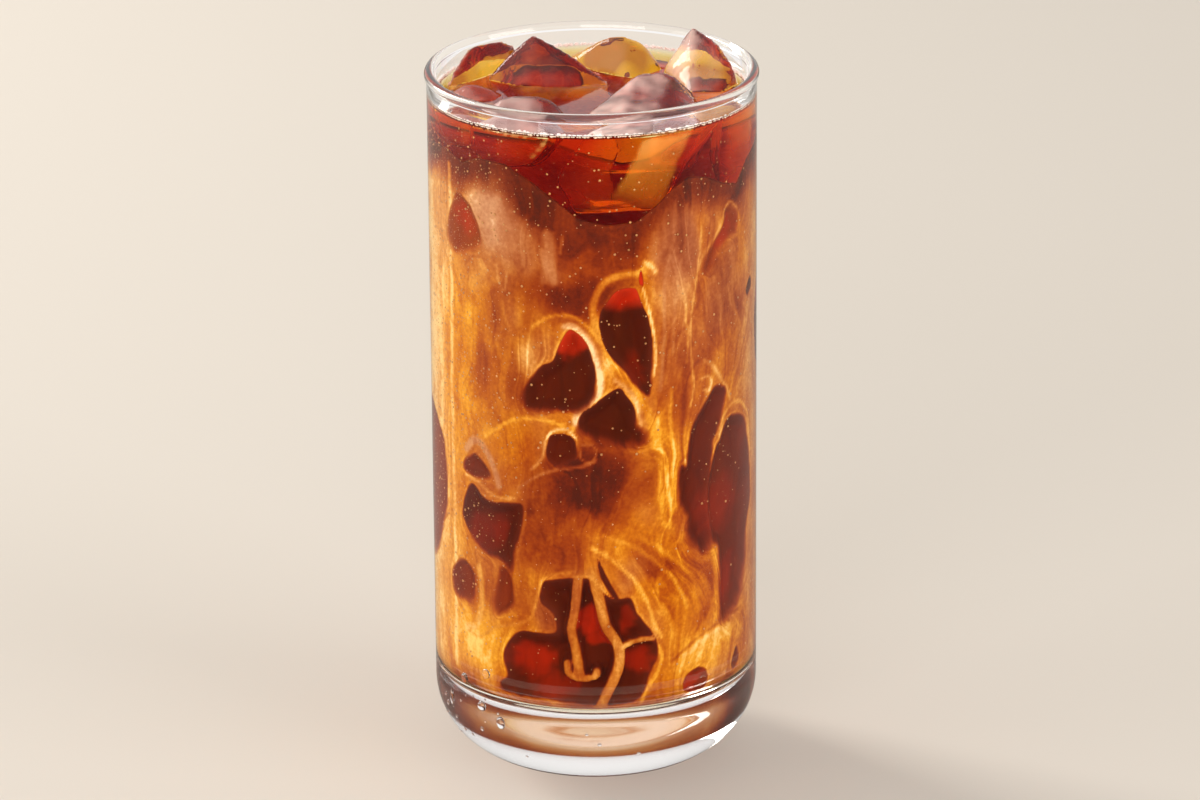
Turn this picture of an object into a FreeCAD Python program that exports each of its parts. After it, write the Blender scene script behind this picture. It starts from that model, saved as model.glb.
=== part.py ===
import FreeCAD, Part
import os
from itertools import combinations
from math import cos, pi, sin

# A tall straight glass of cold brew coffee with ice, in millimetres.
# The origin is the centre of the foot, on the surface that the glass stands on, and +Z is up.
# -Y is the side the drinker sees.

# Driving dimensions of the glass.
glass_height = 154.0
glass_radius = 35.0
wall = 1.8
heel_radius = 17.0
floor_height = 18.0
bowl_corner_radius = 8.0
rim_radius = 1.15

# Driving dimensions of the drink.
drop_to_drink = 5.8
melt_depth = 0.35

bore_radius = glass_radius - wall
drink_level = glass_height - drop_to_drink
axis_start = FreeCAD.Vector(0, 0, 0)
axis_up = FreeCAD.Vector(0, 0, 1)


def profile_point(radius, height):
    """A point of an outline that is turned about the glass's axis."""
    return FreeCAD.Vector(radius, 0, height)


def corner_arc(centre_radius, centre_height, arc_radius, mid_angle):
    """The quarter arc from straight below its centre out to the side, through mid_angle."""
    start = profile_point(centre_radius, centre_height - arc_radius)
    middle = profile_point(
        centre_radius + arc_radius * sin(mid_angle),
        centre_height - arc_radius * cos(mid_angle),
    )
    end = profile_point(centre_radius + arc_radius, centre_height)
    return Part.Arc(start, middle, end).toShape()


def straight(start, end):
    """A straight edge of an outline."""
    return Part.LineSegment(start, end).toShape()


def turned(edges):
    """The solid that a closed outline sweeps round the glass's axis."""
    face = Part.Face(Part.Wire(edges))
    return face.revolve(axis_start, axis_up, 360)


def make_glass():
    """The tumbler: thick rounded base, straight wall and a lip that is a little fatter than the wall."""
    lip_centre_radius = bore_radius + rim_radius
    lip_centre_height = glass_height - rim_radius
    lip_reach = glass_radius - lip_centre_radius
    lip_drop = (rim_radius**2 - lip_reach**2) ** 0.5
    neck_height = lip_centre_height - lip_drop
    bowl_centre_radius = bore_radius - bowl_corner_radius
    bowl_centre_height = floor_height + bowl_corner_radius

    foot_centre = profile_point(0, 0)
    foot_edge = profile_point(glass_radius - heel_radius, 0)
    heel_top = profile_point(glass_radius, heel_radius)
    neck = profile_point(glass_radius, neck_height)
    lip_out = profile_point(lip_centre_radius + rim_radius, lip_centre_height)
    lip_top = profile_point(lip_centre_radius, glass_height)
    lip_in = profile_point(bore_radius, lip_centre_height)
    bowl_side = profile_point(bore_radius, bowl_centre_height)
    bowl_edge = profile_point(bowl_centre_radius, floor_height)
    bowl_centre = profile_point(0, floor_height)

    lip_low = profile_point(
        lip_centre_radius + rim_radius * cos(pi / 8),
        lip_centre_height - rim_radius * sin(pi / 8),
    )
    lip_high_out = profile_point(
        lip_centre_radius + rim_radius * cos(pi / 4),
        lip_centre_height + rim_radius * sin(pi / 4),
    )
    lip_high_in = profile_point(
        lip_centre_radius - rim_radius * cos(pi / 4),
        lip_centre_height + rim_radius * sin(pi / 4),
    )
    edges = [
        straight(foot_centre, foot_edge),
        corner_arc(glass_radius - heel_radius, heel_radius, heel_radius, pi / 4),
        straight(heel_top, neck),
        Part.Arc(neck, lip_low, lip_out).toShape(),
        Part.Arc(lip_out, lip_high_out, lip_top).toShape(),
        Part.Arc(lip_top, lip_high_in, lip_in).toShape(),
        straight(lip_in, bowl_side),
        corner_arc(bowl_centre_radius, bowl_centre_height, bowl_corner_radius, pi / 4),
        straight(bowl_edge, bowl_centre),
        straight(bowl_centre, foot_centre),
    ]
    return turned(edges)


def make_drink():
    """The coffee, from the bowl's floor to a level top, before the ice is cut out of it."""
    bowl_centre_radius = bore_radius - bowl_corner_radius
    bowl_centre_height = floor_height + bowl_corner_radius
    edges = [
        straight(profile_point(0, floor_height), profile_point(bowl_centre_radius, floor_height)),
        corner_arc(bowl_centre_radius, bowl_centre_height, bowl_corner_radius, pi / 4),
        straight(profile_point(bore_radius, bowl_centre_height), profile_point(bore_radius, drink_level)),
        straight(profile_point(bore_radius, drink_level), profile_point(0, drink_level)),
        straight(profile_point(0, drink_level), profile_point(0, floor_height)),
    ]
    return turned(edges)


def convex_solid(points):
    """The faceted solid that wraps a small set of points."""
    faces = []
    for corners in combinations(points, 3):
        normal = (corners[1] - corners[0]).cross(corners[2] - corners[0])
        sides = [normal.dot(point - corners[0]) for point in points if point not in corners]
        if max(sides) <= 0 or min(sides) >= 0:
            faces.append(Part.Face(Part.makePolygon([*corners, corners[0]])))
    shell = Part.Shell(faces)
    shell.sewShape()
    return Part.Solid(shell)


def outward_normal(face, inner_point):
    """The unit normal of a flat face, pointing away from a point inside its solid."""
    normal = face.normalAt(0, 0)
    if normal.dot(face.CenterOfMass - inner_point) < 0:
        return -normal
    return normal


def half_space(point, direction):
    """A block far larger than the glass whose one side passes through point and faces away from direction."""
    block = Part.makeBox(2 * glass_height, 2 * glass_height, glass_height)
    block.translate(FreeCAD.Vector(-glass_height, -glass_height, 0))
    block.Placement = FreeCAD.Placement(point, FreeCAD.Rotation(axis_up, direction)).multiply(block.Placement)
    return block


def melted_edges(solid):
    """The same convex solid with a narrow flat along each of its edges."""
    inner_point = solid.CenterOfMass
    melted = solid
    for edge in solid.Edges:
        normal = FreeCAD.Vector(0, 0, 0)
        for face in solid.ancestorsOfType(edge, Part.Face):
            normal += outward_normal(face, inner_point)
        normal.normalize()
        melted = melted.cut(half_space(edge.CenterOfMass - normal * melt_depth, normal))
    return melted.Solids[0]


def make_ice(crown, outline, depth, keel_scale, drift):
    """One lump of melting ice.

    crown holds the tops that stand out of the coffee as x, y and height above it, and outline the
    corners at the surface. The sunk keel is the outline shrunk, moved by drift and let down to
    depth, with every other corner higher up.
    """
    middle_x = sum(x for x, y in outline) / len(outline)
    middle_y = sum(y for x, y in outline) / len(outline)
    points = [FreeCAD.Vector(x, y, drink_level + rise) for x, y, rise in crown]
    for number, (x, y) in enumerate(outline):
        points.append(FreeCAD.Vector(x, y, drink_level))
        keel_depth = depth if number % 2 else 0.7 * depth
        keel_x = middle_x + drift[0] + keel_scale * (x - middle_x)
        keel_y = middle_y + drift[1] + keel_scale * (y - middle_y)
        points.append(FreeCAD.Vector(keel_x, keel_y, drink_level - keel_depth))
    return melted_edges(convex_solid(points))


ice = {
    "ice_back_left": make_ice(
        crown=[(-25.0, 16.5, 7.0), (-17.0, 22.5, 5.3), (-29.6, 9.5, 3.8)],
        outline=[(-32.0, 4.0), (-26.0, 7.5), (-18.0, 18.0), (-14.0, 28.5), (-24.5, 21.5)],
        depth=17.0,
        keel_scale=0.85,
        drift=(1.0, -0.5),
    ),
    "ice_peak_left": make_ice(
        crown=[(-12.5, 14.0, 9.9), (-6.7, 12.5, 5.9), (-2.0, 9.0, 4.6)],
        outline=[(-23.0, 10.0), (-16.0, 5.0), (-5.0, 4.0), (4.8, 5.8), (-5.0, 16.5), (-15.5, 17.5)],
        depth=24.0,
        keel_scale=0.85,
        drift=(1.0, -2.0),
    ),
    "ice_back": make_ice(
        crown=[(3.0, 20.0, 6.5), (6.5, 20.0, 7.0), (10.8, 19.0, 5.4)],
        outline=[(-6.0, 25.0), (0.5, 15.5), (8.5, 9.5), (15.5, 16.5), (12.0, 28.5), (-1.0, 30.5)],
        depth=19.0,
        keel_scale=0.85,
        drift=(0.0, -1.5),
    ),
    "ice_peak_right": make_ice(
        crown=[(21.8, 19.0, 9.7), (26.3, 15.5, 7.8), (30.0, 9.0, 4.6)],
        outline=[(15.0, 14.5), (20.5, -0.5), (28.0, -1.0), (31.6, 6.0), (25.5, 20.0), (18.0, 26.0)],
        depth=21.0,
        keel_scale=0.85,
        drift=(-1.0, 0.0),
    ),
    "ice_front_right": make_ice(
        crown=[(10.4, -5.5, 6.5), (16.8, -6.5, 6.8)],
        outline=[(-1.5, -15.0), (2.0, -25.5), (11.0, -30.0), (20.5, -23.0), (23.0, -8.0), (8.0, -3.0)],
        depth=18.5,
        keel_scale=0.9,
        drift=(-6.5, 1.0),
    ),
    "ice_front_left": make_ice(
        crown=[(-18.8, -17.0, 4.9), (-13.8, -18.0, 5.4), (-8.0, -18.5, 4.4)],
        outline=[(-24.5, -17.0), (-19.5, -25.5), (-8.5, -30.5), (-4.5, -19.0), (-13.0, -10.5)],
        depth=9.0,
        keel_scale=0.75,
        drift=(-2.5, 1.0),
    ),
    "ice_chip_left": make_ice(
        crown=[(-25.5, 0.5, 2.6)],
        outline=[(-30.5, 1.5), (-28.5, -5.0), (-21.0, -7.0), (-18.0, -0.5), (-23.5, 4.0)],
        depth=9.0,
        keel_scale=0.8,
        drift=(1.0, 0.0),
    ),
}

drink = make_drink()
for lump in ice.values():
    drink = drink.cut(lump)

nodes = {"glass": make_glass(), "drink": drink, **ice}

os.makedirs("parts", exist_ok=True)
for name, shape in nodes.items():
    shape.exportStep("parts/" + name + ".step")
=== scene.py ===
from math import asin, cos, degrees, exp, pi, radians, sin
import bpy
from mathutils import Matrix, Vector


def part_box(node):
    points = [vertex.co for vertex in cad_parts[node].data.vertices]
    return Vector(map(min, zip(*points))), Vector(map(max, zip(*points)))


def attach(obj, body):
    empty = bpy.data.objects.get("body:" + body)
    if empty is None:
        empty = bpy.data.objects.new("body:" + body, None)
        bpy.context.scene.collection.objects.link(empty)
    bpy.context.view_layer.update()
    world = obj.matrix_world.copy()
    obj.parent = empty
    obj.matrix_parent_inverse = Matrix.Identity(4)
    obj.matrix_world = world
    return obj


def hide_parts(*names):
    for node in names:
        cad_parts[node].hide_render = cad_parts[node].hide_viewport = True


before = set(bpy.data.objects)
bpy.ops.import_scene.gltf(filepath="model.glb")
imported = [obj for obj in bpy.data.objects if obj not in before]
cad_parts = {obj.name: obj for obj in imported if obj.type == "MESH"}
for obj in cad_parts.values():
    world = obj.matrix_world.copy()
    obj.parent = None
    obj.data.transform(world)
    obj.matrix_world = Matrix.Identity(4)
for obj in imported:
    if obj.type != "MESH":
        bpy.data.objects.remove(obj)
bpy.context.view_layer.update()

from types import SimpleNamespace

import bmesh
import bpy
import numpy as np
from mathutils import Matrix, Vector
from mathutils.noise import fractal

MM = 0.001

# Sizes read from the frame.
GLASS_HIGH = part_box("glass")[1]
DRINK_LOW, DRINK_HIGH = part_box("drink")
LIP_RADIUS = GLASS_HIGH[0]
RIM_HEIGHT = GLASS_HIGH[2]
BORE_RADIUS = DRINK_HIGH[0]
FLOOR_HEIGHT = DRINK_LOW[2]
DRINK_LEVEL = DRINK_HIGH[2]
ICE_NODES = sorted(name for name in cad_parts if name.startswith("ice_"))

# The glass.
LIP_ROUND = (LIP_RADIUS - BORE_RADIUS) / 2
GLASS_RADIUS = LIP_RADIUS - 0.5 * MM
HEEL_RADIUS = 17 * MM
FOOT_HEIGHT = 0.02 * MM
BOWL_CORNER = 8 * MM
BOWL_FLAT = BORE_RADIUS - BOWL_CORNER
GLASS_SEGMENTS = 192

# The coffee reaches a little into the wall, and climbs it where it meets the air.
REACH = 0.15 * MM
CLIMB = 1.1 * MM
CLIMB_WIDTH = 5 * MM
CLIMB_FADE = 1.2 * MM
COFFEE_SEGMENTS = 160
COFFEE_DYE = (0.96, 0.80, 0.05, 1)
DYE_STRENGTH = 400

# Between these heights the coffee's skin inside the wall is that of the hollows round the ice.
HOLLOWS_TOP = DRINK_LEVEL - 0.1 * MM
HOLLOWS_FLOOR = DRINK_LEVEL - 60 * MM

# Where the drink's wall is wetted: as far back as it can be seen from the front.
FRONT_HALF = 8 * MM

# How strongly each clear thing bends light. Sunk ice is seen from inside the coffee.
GLASS_IOR = 1.5
WATER_IOR = 1.333
ICE_IOR = 1.31
SUNK_ICE_IOR = 1.03

# The melted ice: the size of its finest form, how far it swells and is dented, and its gap in the coffee.
ICE_DETAIL = 0.8 * MM
ICE_SWELL = 0.12 * MM
ICE_DENTS = 0.25 * MM
ICE_GAP = 0.06 * MM


# ---------------------------------------------------------------- mesh helpers
def linked(name, data):
    """An object at the origin that holds the given data."""
    thing = bpy.data.objects.new(name, data)
    bpy.context.scene.collection.objects.link(thing)
    return thing


def new_piece(name, vertices, faces, material):
    """A smooth-shaded mesh object."""
    mesh = bpy.data.meshes.new(name)
    mesh.from_pydata([tuple(v) for v in vertices], [], [tuple(f) for f in faces])
    mesh.shade_smooth()
    mesh.materials.append(material)
    return linked(name, mesh)


def made_plain(piece):
    """Turns what a piece's modifiers make into its plain mesh, and takes them off."""
    result = bpy.data.meshes.new_from_object(piece.evaluated_get(bpy.context.evaluated_depsgraph_get()))
    piece.modifiers.clear()
    piece.data = result
    return result


def finished(piece, *nodes, slot):
    """Puts a finished mesh on the part's one body, in the place of the named CAD nodes."""
    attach(piece, "root")
    if nodes:
        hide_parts(*nodes)
    return piece


def set_values(mesh, name, values):
    """Gives each point of a mesh a value, or a vector where values holds three numbers for each."""
    vectors = len(values) == 3 * len(mesh.vertices)
    layer = mesh.attributes.new(name, "FLOAT_VECTOR" if vectors else "FLOAT", "POINT")
    layer.data.foreach_set("vector" if vectors else "value", values)


def swell(mesh, amount):
    """Moves a mesh's skin outwards by what amount gives for each place."""
    normals = [vertex.normal.copy() for vertex in mesh.vertices]
    for vertex, normal in zip(mesh.vertices, normals):
        vertex.co += normal * amount(vertex.co)


def arc(centre_r, centre_z, radius, start, end, steps):
    """Points of a profile's arc; angles are in degrees from straight out, counted upwards."""
    angles = [radians(start + (end - start) * k / steps) for k in range(steps + 1)]
    return [(centre_r + radius * cos(a), centre_z + radius * sin(a)) for a in angles]


def wall(radius, start, end, steps):
    """Points of a profile's upright wall between two heights, without the two ends."""
    return [(radius, start + (end - start) * k / steps) for k in range(1, steps)]


def closed_skin(columns, rings):
    """Faces of a closed skin: its first point, rings of points round the axis, and its last point."""
    faces = []
    top = 1 + (rings - 1) * columns
    for k in range(columns):
        after = (k + 1) % columns
        faces.append((0, 1 + after, 1 + k))
        for low in range(1, top, columns):
            high = low + columns
            faces.append((low + k, low + after, high + after, high + k))
        faces.append((top + k, top + after, top + columns))
    return faces


def turned(name, profile, segments, material):
    """The closed solid that a profile sweeps round the axis; it starts and ends on the axis."""
    first, *rings, last = profile
    vertices = [(0, 0, first[1])]
    for r, z in rings:
        for k in range(segments):
            a = 2 * pi * k / segments
            vertices.append((r * cos(a), r * sin(a), z))
    vertices.append((0, 0, last[1]))
    return new_piece(name, vertices, closed_skin(segments, len(rings)), material)


# ---------------------------------------------------------------- material helpers
WHITE = (1, 1, 1, 1)


def shade(red, green, blue):
    """A colour from its values on a scale of 0 to 255."""
    def linear(value):
        value = value / 255
        return value / 12.92 if value <= 0.04045 else ((value + 0.055) / 1.055) ** 2.4
    return (linear(red), linear(green), linear(blue), 1.0)


def new_material(name):
    """A material with an empty node tree and its output node."""
    material = bpy.data.materials.new(name)
    material.use_nodes = True
    material.node_tree.nodes.clear()
    output = material.node_tree.nodes.new("ShaderNodeOutputMaterial")
    return material, material.node_tree, output


def add(tree, kind, inputs=(), give=0, **settings):
    """Adds a node and returns one of its outputs. Inputs maps its sockets to values or to other outputs."""
    made = tree.nodes.new(kind)
    for name, value in settings.items():
        setattr(made, name, value)
    for socket, value in dict(inputs).items():
        if isinstance(value, bpy.types.NodeSocket):
            tree.links.new(value, made.inputs[socket])
        else:
            made.inputs[socket].default_value = value
    return made.outputs[give]


def maths(tree, operation, *values, clamp=False):
    """The result of a sum on numbers or outputs."""
    return add(tree, "ShaderNodeMath", enumerate(values), operation=operation, use_clamp=clamp)


def levels(tree, value, low, high, to_low=0.0, to_high=1.0, slope="LINEAR"):
    """Stretches the values from low to high over another range."""
    return add(tree, "ShaderNodeMapRange", {
        "Value": value, "From Min": low, "From Max": high, "To Min": to_low, "To Max": to_high},
        interpolation_type=slope)


def cloudy(tree, vector, scale, detail=2.0, roughness=0.5, distortion=0.0):
    """A cloudy pattern with values round 0.5."""
    return add(tree, "ShaderNodeTexNoise", {
        "Vector": vector, "Scale": scale, "Detail": detail, "Roughness": roughness,
        "Distortion": distortion}, "Fac")


def own_place(tree):
    """Each point's place on its piece."""
    return add(tree, "ShaderNodeTexCoord", give="Object")


def field(tree, name, kind="Fac"):
    """What a mesh's attribute says at each point."""
    return add(tree, "ShaderNodeAttribute", give=kind, attribute_name=name)


def apart(tree, vector):
    """The outputs X, Y and Z of a vector, and the vector laid flat on the table."""
    parts = add(tree, "ShaderNodeSeparateXYZ", {0: vector}).node.outputs
    return parts, add(tree, "ShaderNodeCombineXYZ", {"X": parts["X"], "Y": parts["Y"]})


def mixed(tree, share, a, b):
    """A colour between the colours a and b."""
    return add(tree, "ShaderNodeMix", {0: share, 6: a, 7: b}, 2, data_type="RGBA")


def mixed_value(tree, share, a, b):
    """A value between the values a and b."""
    return add(tree, "ShaderNodeMix", {0: share, 2: a, 3: b})


def mixed_skin(tree, share, a, b):
    """A skin between the skins a and b."""
    return add(tree, "ShaderNodeMixShader", {0: share, 1: a, 2: b})


def is_ray(tree, *kinds):
    """1 where light arrives by one of the named kinds of ray, and 0 elsewhere."""
    rays = add(tree, "ShaderNodeLightPath").node.outputs
    found = rays[f"Is {kinds[0]} Ray"]
    for kind in kinds[1:]:
        found = maths(tree, "MAXIMUM", found, rays[f"Is {kind} Ray"])
    return found


def let_light_through(tree, output, skin):
    """Puts a skin on the output, but lets the lamps' and the floor's light straight through."""
    straight = add(tree, "ShaderNodeBsdfTransparent")
    skin = mixed_skin(tree, is_ray(tree, "Shadow", "Diffuse"), skin, straight)
    tree.links.new(skin, output.inputs["Surface"])


def polished(tree, ior, roughness=0.0, stain=WHITE):
    """The polished skin of something clear."""
    return add(tree, "ShaderNodeBsdfPrincipled", {
        "Base Color": stain, "Roughness": roughness, "IOR": ior, "Transmission Weight": 1.0})


def wetted(tree, ior):
    """A skin that something wet lies against: it bends light and hardly reflects it."""
    return add(tree, "ShaderNodeBsdfRefraction", {"Color": WHITE, "Roughness": 0.0, "IOR": ior})


def matt(tree, colour, roughness, gloss):
    """The skin of something that light doesn't pass."""
    return add(tree, "ShaderNodeBsdfPrincipled", {
        "Base Color": colour, "Roughness": roughness, "Specular IOR Level": gloss})


# ---------------------------------------------------------------- materials of glass, coffee and ice
# The lit and glowing colours of the pale frosty skin that is painted on the ice as a highlight.
FROST_HIGHLIGHT_LIT = shade(252, 230, 222)
FROST_HIGHLIGHT_GLOW = shade(255, 222, 200)

def make_clear_material(name, skin, ior):
    """Something clear that gives no colour: glass, glass against the coffee, or dew."""
    material, tree, output = new_material(name)
    let_light_through(tree, output, skin(tree, ior))
    return material


def make_coffee_material():
    """Clear dark coffee: polished on top, wetted against the glass, and soft where ice sits in it."""
    material, tree, output = new_material("clear coffee")
    place, flat = apart(tree, own_place(tree))
    from_axis = add(tree, "ShaderNodeVectorMath", {0: flat}, "Value", operation="LENGTH")
    at_wall = maths(tree, "MULTIPLY", maths(tree, "GREATER_THAN", from_axis, BORE_RADIUS),
                    maths(tree, "LESS_THAN", place["Y"], FRONT_HALF))
    below_top = maths(tree, "LESS_THAN", place["Z"], HOLLOWS_TOP)
    above_floor = maths(tree, "GREATER_THAN", place["Z"], HOLLOWS_FLOOR)
    in_hollow = maths(tree, "MULTIPLY", below_top, above_floor)
    skin = mixed_skin(tree, in_hollow, polished(tree, WATER_IOR), polished(tree, SUNK_ICE_IOR))
    skin = mixed_skin(tree, at_wall, skin, wetted(tree, WATER_IOR))
    let_light_through(tree, output, skin)
    dye = add(tree, "ShaderNodeVolumeAbsorption", {"Color": COFFEE_DYE, "Density": DYE_STRENGTH})
    tree.links.new(dye, output.inputs["Volume"])
    return material


def make_ice_material(name, ior, roughness, dark, light, waviness):
    """Clear ice, with a pale frosty skin painted on as a highlight where its facets say so; the coffee
    round it stains what is seen through it.
    """
    material, tree, output = new_material(name)
    place = own_place(tree)
    stain = mixed(tree, levels(tree, cloudy(tree, place, 110, 1), 0.46, 0.58), dark, light)
    clear = polished(tree, ior, roughness, stain)
    if waviness:
        height = levels(tree, cloudy(tree, place, 190, 2), 0.0, 1.0)
        waves = add(tree, "ShaderNodeBump", {"Strength": waviness, "Distance": 1.0 * MM, "Height": height})
        tree.links.new(waves, clear.node.inputs["Normal"])
    # A pale frosty skin, a painted highlight, lies in patches on the facets that the field marks.
    highlight_patches = levels(tree, cloudy(tree, place, 90, 3), 0.35, 0.62, 0.50, 1.0)
    lit = add(tree, "ShaderNodeBsdfDiffuse", {"Color": FROST_HIGHLIGHT_LIT})
    glowing = add(tree, "ShaderNodeBsdfTranslucent", {"Color": FROST_HIGHLIGHT_GLOW})
    frost_highlight = add(tree, "ShaderNodeAddShader", {0: lit, 1: glowing})
    highlight_share = maths(tree, "MULTIPLY", highlight_patches, field(tree, "frost_highlight"))
    let_light_through(tree, output, mixed_skin(tree, highlight_share, clear, frost_highlight))
    return material


# ---------------------------------------------------------------- glass
def make_glass():
    """The tumbler: a straight wall with a fatter lip, on a thick base with a round heel."""
    lip_r = BORE_RADIUS + LIP_ROUND
    lip_z = RIM_HEIGHT - LIP_ROUND
    contact = DRINK_LEVEL + CLIMB
    corner_z = FLOOR_HEIGHT + BOWL_CORNER
    neck = (LIP_ROUND**2 - (GLASS_RADIUS - lip_r) ** 2) ** 0.5
    heel_r = GLASS_RADIUS - HEEL_RADIUS
    profile = [(0, FOOT_HEIGHT), (heel_r - 2 * MM, FOOT_HEIGHT)]
    profile += arc(heel_r, HEEL_RADIUS, HEEL_RADIUS, -90, 0, 24)
    profile += wall(GLASS_RADIUS, HEEL_RADIUS, lip_z, 12)
    profile += arc(lip_r, lip_z, LIP_ROUND, -degrees(asin(neck / LIP_ROUND)), 180, 20)
    profile += [(BORE_RADIUS, contact)]
    profile += wall(BORE_RADIUS, contact, corner_z, 12)
    profile += arc(BOWL_FLAT, corner_z, BOWL_CORNER, 0, -90, 16)
    profile += [(BOWL_FLAT - 2 * MM, FLOOR_HEIGHT), (0, FLOOR_HEIGHT)]
    clear = make_clear_material("clear glass", polished, GLASS_IOR)
    glass = turned("tall_glass", profile, GLASS_SEGMENTS, clear)
    glass.data.materials.append(make_clear_material("glass against the coffee", wetted, GLASS_IOR))
    for face in glass.data.polygons:
        middle = face.center
        on_bore = BORE_RADIUS - 0.3 * MM < middle.xy.length < BORE_RADIUS + 0.01 * MM
        if on_bore and middle.y < FRONT_HALF and corner_z < middle.z < DRINK_LEVEL:
            face.material_index = 1
    return finished(glass, "glass", slot="glass")


# ---------------------------------------------------------------- ice
# How strongly each lump's facets get a pale frosty skin painted on as a highlight.
FROST_HIGHLIGHT_STRENGTH = {"ice_back": 0.06, "ice_back_left": 0.30, "ice_chip_left": 0.20, "ice_front_left": 0.40,
         "ice_front_right": 0.85, "ice_peak_left": 0.05, "ice_peak_right": 0.42}

# Which way a facet faces to get the painted highlight, above the drink and in it.
HIGHLIT_FACING_ABOVE = Vector((-0.50, -0.50, 0.70)).normalized()
HIGHLIT_FACING_BELOW = Vector((0.35, -0.93, -0.10)).normalized()


def ramp(value, low, high):
    """0 below low, 1 above high, and an eased slope between."""
    t = np.clip((value - low) / (high - low), 0, 1)
    return t * t * (3 - 2 * t)


def melted_lump(node_name, material):
    """A melted, rounded copy of a CAD lump of ice, with soft dents."""
    lump = linked("melted_" + node_name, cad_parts[node_name].data.copy())
    lump.data.materials.clear()
    work = bmesh.new()
    work.from_mesh(lump.data)
    bmesh.ops.remove_doubles(work, verts=work.verts, dist=0.01 * MM)
    work.to_mesh(lump.data)
    work.free()
    remesh = lump.modifiers.new("remesh", "REMESH")
    remesh.mode = "VOXEL"
    remesh.voxel_size = ICE_DETAIL
    smooth = lump.modifiers.new("smooth", "SMOOTH")
    smooth.iterations = 4
    smooth.factor = 0.6
    mesh = made_plain(lump)
    swell(mesh, lambda place: ICE_SWELL + ICE_DENTS * fractal(place * 160, 1.0, 2.0, 3))
    mesh.shade_smooth()
    mesh.materials.clear()
    mesh.materials.append(material)
    return lump


def edge_sharpness(mesh):
    """How far each point of a mesh stands out from those beside it."""
    ridge = [0.0] * len(mesh.vertices)
    ends = [0] * len(mesh.vertices)
    for edge in mesh.edges:
        for this, other in (edge.vertices, reversed(edge.vertices)):
            step = mesh.vertices[this].co - mesh.vertices[other].co
            ridge[this] += step.normalized().dot(mesh.vertices[this].normal)
            ends[this] += 1
    return [total / max(1, count) for total, count in zip(ridge, ends)]


def paint_frost_highlights(mesh, strength):
    """Paints a pale frosty highlight on the facets that face the lit way, and above the drink on the sharp
    edges too.
    """
    frost_highlight = []
    for vertex, sharpness in zip(mesh.vertices, edge_sharpness(mesh)):
        # Above the drink, the facets facing up and to the front left and the sharp edges get painted
        # highlights; in the drink, the facets facing the front get a fainter painted glow.
        if vertex.co.z > DRINK_LEVEL:
            facet = strength * float(ramp(vertex.normal.dot(HIGHLIT_FACING_ABOVE), 0.76, 0.97))
            frost_highlight.append(max(0.9 * facet, 0.5 * float(ramp(sharpness, 0.17, 0.30))))
        else:
            frost_highlight.append(0.22 * float(ramp(vertex.normal.dot(HIGHLIT_FACING_BELOW), 0.80, 0.97)))
    set_values(mesh, "frost_highlight", frost_highlight)


def finish_lump(lump, node_name, sunk_material):
    """Gives a lump its sunk part and its painted highlights, and draws it in so that it lies clear of its
    hollow.
    """
    mesh = lump.data
    mesh.materials.append(sunk_material)
    for face in mesh.polygons:
        if face.center.z < DRINK_LEVEL:
            face.material_index = 1
    swell(mesh, lambda place: -ICE_GAP)
    paint_frost_highlights(mesh, FROST_HIGHLIGHT_STRENGTH[node_name])
    finished(lump, node_name, slot="ice")


# ---------------------------------------------------------------- the clear coffee
def make_coffee(lumps, material):
    """The clear drink: its edge climbs the wall, and each lump of ice has a hollow in it."""
    wall_r = BORE_RADIUS + REACH
    floor_z = FLOOR_HEIGHT - REACH
    corner_z = FLOOR_HEIGHT + BOWL_CORNER
    contact = DRINK_LEVEL + CLIMB
    profile = [(0, floor_z), (BOWL_FLAT - 2 * MM, floor_z)]
    profile += arc(BOWL_FLAT, corner_z, BOWL_CORNER + REACH, -90, 0, 16)
    profile += wall(wall_r, corner_z, contact, 10)
    profile += [(wall_r, contact)]
    for k in range(1, 15):
        back = CLIMB_WIDTH * (k / 14) ** 1.6
        profile.append((wall_r - back, DRINK_LEVEL + CLIMB * exp(-back / CLIMB_FADE)))
    profile += [(wall_r * k / 6, DRINK_LEVEL) for k in range(4, -1, -1)]
    coffee = turned("coffee", profile, COFFEE_SEGMENTS, material)
    for lump in lumps:
        cut = coffee.modifiers.new("ice", "BOOLEAN")
        cut.operation = "DIFFERENCE"
        cut.solver = "EXACT"
        cut.object = lump
    made_plain(coffee).set_sharp_from_angle(angle=radians(32))
    return finished(coffee, "drink", slot="coffee")


# ---------------------------------------------------------------- the cream in the coffee: its places
# Places on the drink's wall are given in millimetres: how far round from the front, to the
# right, and the height. A window is a clear hole in the cream that shows dark coffee.
WALL = BORE_RADIUS / MM
ROUND = 2 * pi * WALL

# The core of cream lies a small gap inside the wall. Above its shoulder its rows are stretched to
# end on the crest, and in its middle its top is nearly level.
CORE_FLOOR = FLOOR_HEIGHT / MM
CORE_CORNER = BOWL_CORNER / MM
CORE_GAP = 0.25
CORE_SHOULDER = 100
CORE_TOP = 132
CORE_LEVEL = 115

# The core's grid is finest in front, up to this far round on each side.
FRONT_SIDE = 52
FRONT_COLUMNS = 250
BACK_COLUMNS = 130
WALL_ROWS = 190
TOP_ROWS = 26

# How wide the currents are that push the cream about.
SLOW_CURRENT = 13
QUICK_CURRENT = 5
FINE_CURRENT = 1.7

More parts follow.
